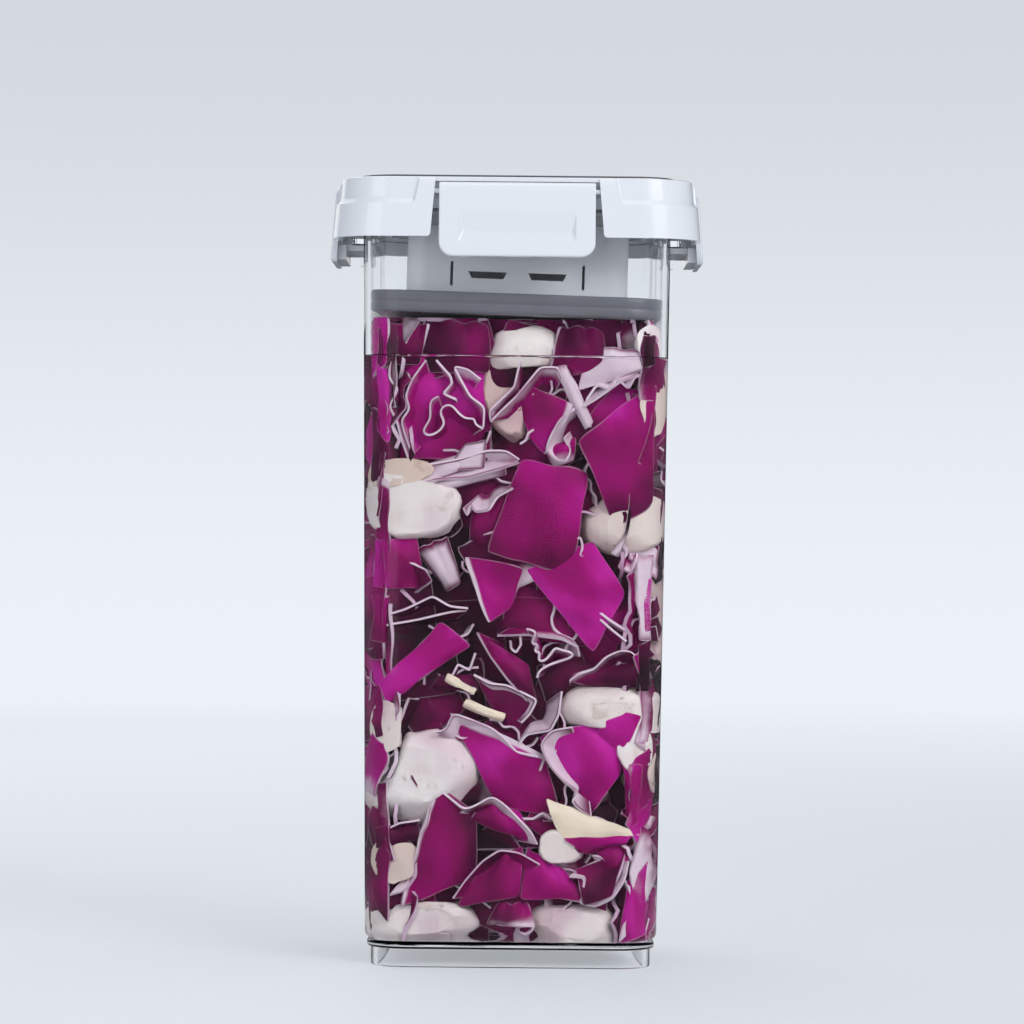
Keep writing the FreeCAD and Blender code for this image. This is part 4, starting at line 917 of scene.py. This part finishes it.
bubble_beads = join(bubbles)
bubble_beads.name = "bubble_beads"
bpy.ops.object.shade_smooth()
air_finish, tree = new_finish("air_bubble")
set_surface(tree, tree.node("BsdfPrincipled", {}, {
    "Base Color": (1, 0.97, 0.98, 1), "Transmission Weight": 1.0, "IOR": 1.2,
    "Roughness": 0.0, "Normal": bump(tree, patches(tree, 0.0008, detail=0), 0.0001, 0.3)}))
paint(bubble_beads, air_finish)
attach(bubble_beads, "jar")

# Press lid. Mid-grey satin plastic, moulded: a shallow pan with a raised box frame,
# pushed down into the jar and held by its seal.
grey_plastic, tree = new_finish("grey_plastic")
grain = patches(tree, 0.0006, detail=2)
damp = patches(tree, 0.012, detail=4)
set_surface(tree, tree.node("BsdfPrincipled", {}, {
    "Base Color": blend(tree, damp, (0.76, 0.77, 0.81), (0.82, 0.83, 0.86)),
    "Roughness": 0.30 + 0.16 * damp, "Normal": bump(tree, grain, 0.00005, 0.5)}))
dress("press_lid", grey_plastic)

# Press seal. One soft dark grey silicone band with a shallow groove along it,
# clamped round the press lid's pan; it hugs the wall, wet, and tilts with the pan.
SEAL_FOOT, SEAL_TOP = 225.9, 233.3
SEAL_TILT = math.radians(1.5)
SEAL_PROFILE = (        # gap to the wall, and height above the seal's foot
    (2.5, 0.0), (0.9, 0.0), (0.45, 0.4), (0.30, 1.2), (0.30, 2.6), (0.55, 3.2), (0.62, 3.5),
    (0.50, 3.8), (0.28, 4.4), (0.24, 5.6), (0.28, 6.7), (0.70, 7.3), (2.5, 7.4), (2.5, 3.7))
OUTSIDE_JAR = 80        # the radius that the band's points are drawn in from
ring, around, up = new_sheet(180, len(SEAL_PROFILE))
points = np.zeros((len(around), 3))
for row in range(len(SEAL_PROFILE) + 1):
    gap, rise = SEAL_PROFILE[row % len(SEAL_PROFILE)]
    here = np.abs(up * len(SEAL_PROFILE) - row) < 0.5
    angle = math.tau * around[here]
    points[here] = fit_outline(np.stack([OUTSIDE_JAR * np.cos(angle), OUTSIDE_JAR * np.sin(angle),
                                         np.full(here.sum(), SEAL_FOOT + rise)], axis=1), gap)
level = (SEAL_FOOT + SEAL_TOP) / 2
across, height = points[:, 0].copy(), points[:, 2] - level
points[:, 0] = across * math.cos(SEAL_TILT) + height * math.sin(SEAL_TILT)
points[:, 2] = level + height * math.cos(SEAL_TILT) - across * math.sin(SEAL_TILT)
ring.vertices.foreach_set("co", (points * MM).ravel())
seal_band = bpy.data.objects.new("press_seal_band", ring)
bpy.context.scene.collection.objects.link(seal_band)
only(seal_band)
bpy.ops.object.mode_set(mode="EDIT")
bpy.ops.mesh.select_all(action="SELECT")
bpy.ops.mesh.remove_doubles(threshold=1e-6)
bpy.ops.mesh.normals_make_consistent(inside=False)
bpy.ops.object.mode_set(mode="OBJECT")
bpy.ops.object.shade_smooth_by_angle(angle=math.radians(40))
dark_seal, tree = new_finish("dark_seal")
wet = patches(tree, 0.006, detail=4, stretch=(1, 1, 2.5))
film = step_up(tree, patches(tree, 0.02, detail=3), 0.55, 0.75)
grey = blend(tree, wet, (0.105, 0.108, 0.13), (0.15, 0.155, 0.18))
set_surface(tree, tree.node("BsdfPrincipled", {}, {
    "Base Color": blend(tree, film * 0.5, grey, (0.10, 0.075, 0.07)), "Roughness": 0.22 + 0.25 * wet,
    "Normal": bump(tree, wet, 0.0002, 0.3)}))
paint(seal_band, dark_seal)
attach(seal_band, "jar")
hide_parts("press_seal")

# Lid seal. A ring of grey translucent silicone, moulded, pressed between the lid
# and the container's rim.
grey_seal, tree = new_finish("grey_seal")
dust = patches(tree, 0.0008, detail=3)
set_surface(tree, tree.node("BsdfPrincipled", {}, {
    "Base Color": blend(tree, dust, (0.23, 0.235, 0.27), (0.30, 0.305, 0.34)),
    "Roughness": 0.38 + 0.12 * dust, "Normal": bump(tree, dust, 0.00004, 0.5)}))
dress("lid_seal", grey_seal)

# Lid and its four latches. Glossy white plastic, moulded, with a faint
# orange-peel skin; each latch turns on pins in the lid's skirts.
white_plastic, tree = new_finish("white_plastic")
peel = patches(tree, 0.0012, detail=2)
handled = patches(tree, 0.03, detail=4)
set_surface(tree, tree.node("BsdfPrincipled", {}, {
    "Base Color": blend(tree, handled, (0.79, 0.82, 0.865), (0.83, 0.855, 0.895)),
    "Roughness": 0.16 + 0.10 * handled, "IOR": 1.5, "Coat Weight": 0.25, "Coat Roughness": 0.06,
    "Normal": bump(tree, peel, 0.00003, 0.5)}))
for name in ("lid", "latch_front", "latch_right", "latch_back", "latch_left"):
    dress(name, white_plastic)

# Top panel. Dark grey soft-touch plastic, moulded, and fixed in the lid's shallow
# pocket.
grey_panel, tree = new_finish("grey_panel")
grain = patches(tree, 0.0005, detail=2)
wear = patches(tree, 0.025, detail=5)
set_surface(tree, tree.node("BsdfPrincipled", {}, {
    "Base Color": blend(tree, wear, (0.075, 0.08, 0.095), (0.10, 0.105, 0.12)),
    "Roughness": 0.42 + 0.14 * wear, "Normal": bump(tree, grain, 0.00006, 0.6)}))
dress("top_panel", grey_panel)
